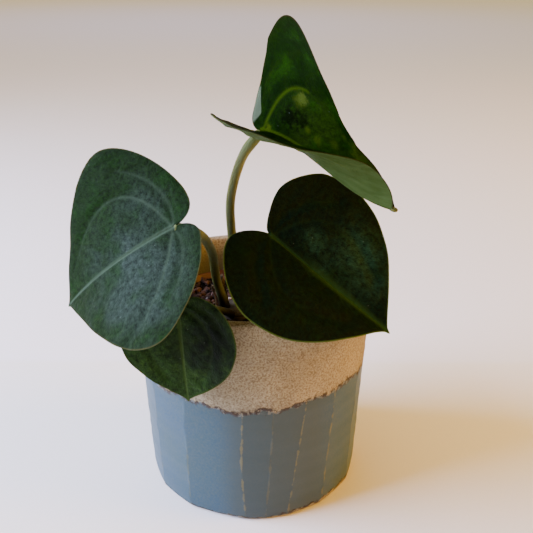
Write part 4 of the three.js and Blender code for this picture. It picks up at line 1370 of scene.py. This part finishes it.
def blade(leaf, skin):
    """A leaf's blade, bent to its place, with what its skin reads on every point."""
    name, length = leaf["name"], leaf["length"]
    bm, flat, edge = flat_blade(leaf)
    x, y = flat[:, 0], flat[:, 1]
    is_upper = flat[:, 2] > flat[:, 2].mean()
    main_vein, to_dip, to_lateral = veins_of(leaf, x, y)
    upper, lower = relief(leaf, x, y, edge, main_vein, to_dip, to_lateral)
    places, normals = surface(leaf, x, y)
    lay(bm, places + normals * np.where(is_upper, upper, lower)[:, None])
    made = piece(name + "_leaf", bm, skin, "leaf_blade", name + "_leaf_blade", sharp=60)
    mesh = made.data
    midrib = np.where(x > -0.02, np.abs(y) * length / (0.95 - 0.6 * np.clip(x, 0, 1)), 9)
    note(mesh, "midrib", np.clip(midrib, 0, 9))
    note(mesh, "main_vein", main_vein)
    note(mesh, "lateral_vein", np.exp(-(to_lateral * length / 0.5) ** 2))
    # On the back of the top leaf's left lobe the upper face is given the underside's colour, in a
    # place between three lines that are given in flat millimetres.
    behind, aside = x * length, y * length
    shown_back = smooth(behind + 0.19 * (aside - 8), -2.2, -2.6) * smooth(aside, 17.6, 16.6)
    shown_back *= smooth(aside - 1.2 * (behind + 5.3), 2.7, 3.4) * leaf.get("turned_over", 0)
    note(mesh, "underside", np.where(is_upper, shown_back, 1))
    # The flat leaf in metres, so that its patterns keep their real size.
    corner = np.empty(len(mesh.loops), dtype=np.int32)
    mesh.loops.foreach_get("vertex_index", corner)
    layer = mesh.uv_layers.new(name="flat_leaf")
    layer.data.foreach_set("uv", (flat[corner, :2] * length * MM).astype(np.float32).ravel())


def tip_knob(leaf, skin):
    """The swollen, pale end of the midrib, which hangs on the leaf's tip."""
    places, normals = surface(leaf, np.array([0.93, 0.985]), np.full(2, 1e-6))
    onward, out = Vector(places[1] - places[0]).normalized(), Vector(normals[1])
    across = out.cross(onward).normalized()
    axes = Matrix((onward, across, onward.cross(across))).transposed().to_4x4()
    place = Matrix.Translation(places[1]) @ axes @ Matrix.Diagonal((*KNOB_HALF_SIZES, 1))
    bm = bmesh.new()
    bmesh.ops.create_icosphere(bm, subdivisions=4, radius=1, matrix=place)
    piece(leaf["name"] + "_leaf_tip", bm, skin, "leaf_blade")


# Putting the plant together.

cover_pot()
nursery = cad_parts["nursery_pot"]
nursery.data.materials.clear()
nursery.data.materials.append(terracotta_plastic())
potting_mix()
for name, look, *bits in LOOSE_BITS:
    scatter(name, loose_bits(*look), *bits)
crown()
skin = stalk_skin()
for leaf in LEAVES:
    stalk(leaf, skin)
paper = papery_skin()
for name, width, path in SCALE_LEAVES:
    scale_leaf(name, width, path, paper)
for leaf in LEAVES:
    blade(leaf, leaf_skin(leaf, **LEAF_LOOKS[leaf["name"]]))
top = LEAVES[-1]
tip_knob(top, skin)

# Floor, light and camera.

bm = bmesh.new()
bmesh.ops.create_grid(bm, x_segments=1, y_segments=1, size=FLOOR_REACH)
floor_mesh = bpy.data.meshes.new("floor")
bm.to_mesh(floor_mesh)
bm.free()
floor_mesh.materials.append(pale_floor())
floor = bpy.data.objects.new("floor", floor_mesh)
floor.location.z = -FLOOR_DROP
bpy.context.scene.collection.objects.link(floor)


def window(name, place, aim, size, watts, colour):
    """A soft rectangular light."""
    light = bpy.data.lights.new(name, "AREA")
    light.shape = "RECTANGLE"
    light.size, light.size_y = size
    light.energy = watts
    light.color = linear(colour)[:3]
    lamp = bpy.data.objects.new(name, light)
    lamp.location = place
    lamp.rotation_euler = (Vector(aim) - Vector(place)).to_track_quat("-Z", "Y").to_euler()
    bpy.context.scene.collection.objects.link(lamp)


plant_middle = (0, 0, 0.09)
window("cool_window", (-0.783, -0.138, 0.503), plant_middle, (0.675, 0.675), 41.0, "#c2cfff")
window("warm_room", (1.326, -0.116, 0.513), plant_middle, (0.7, 0.7), 35.0, "#ffb947")
window("far_sky", (-0.4, 2.8, 1.7), (-0.2, 3.0, 0), (2.0, 2.0), 22.0, "#6c92ff")

# The room: bright on the window's side, dim on the other, and warm all round.
world = bpy.data.worlds.new("room")
world.use_nodes = True
tree = world.node_tree
way = add(tree, "VectorMath", {
    0: add(tree, "TexCoord").outputs["Generated"], 1: (-0.75, 0.35, 0.3),
}, operation="DOT_PRODUCT").outputs["Value"]
room = add(tree, "Mix", {
    "Factor": add(tree, "MapRange", {
        "Value": way, "From Min": -0.5, "From Max": 0.8,
    }, interpolation_type="SMOOTHSTEP"),
    "A": linear("#533d20"), "B": linear("#fee297"),
}, data_type="RGBA")
sky = world.node_tree.nodes["Background"]
tree.links.new(next(s for s in room.outputs if s.enabled), sky.inputs["Color"])
sky.inputs["Strength"].default_value = 1.4
bpy.context.scene.world = world

camera_data = bpy.data.cameras.new("photo_camera")
camera_data.lens = CAMERA_LENS
camera_data.sensor_width = CAMERA_SENSOR
camera_data.clip_start = 0.01
camera = bpy.data.objects.new("photo_camera", camera_data)
pitch, roll = math.radians(CAMERA_PITCH), math.radians(CAMERA_ROLL)
forward = Vector((0, math.cos(pitch), -math.sin(pitch)))
upward = Vector((0, math.sin(pitch), math.cos(pitch)))
sideward = Vector((1, 0, 0))
right_way = sideward * math.cos(roll) + upward * math.sin(roll)
up_way = upward * math.cos(roll) - sideward * math.sin(roll)
turn = Matrix((right_way, up_way, -forward)).transposed().to_4x4()
camera.matrix_world = Matrix.Translation(CAMERA_PLACE) @ turn
bpy.context.scene.collection.objects.link(camera)
bpy.context.scene.camera = camera
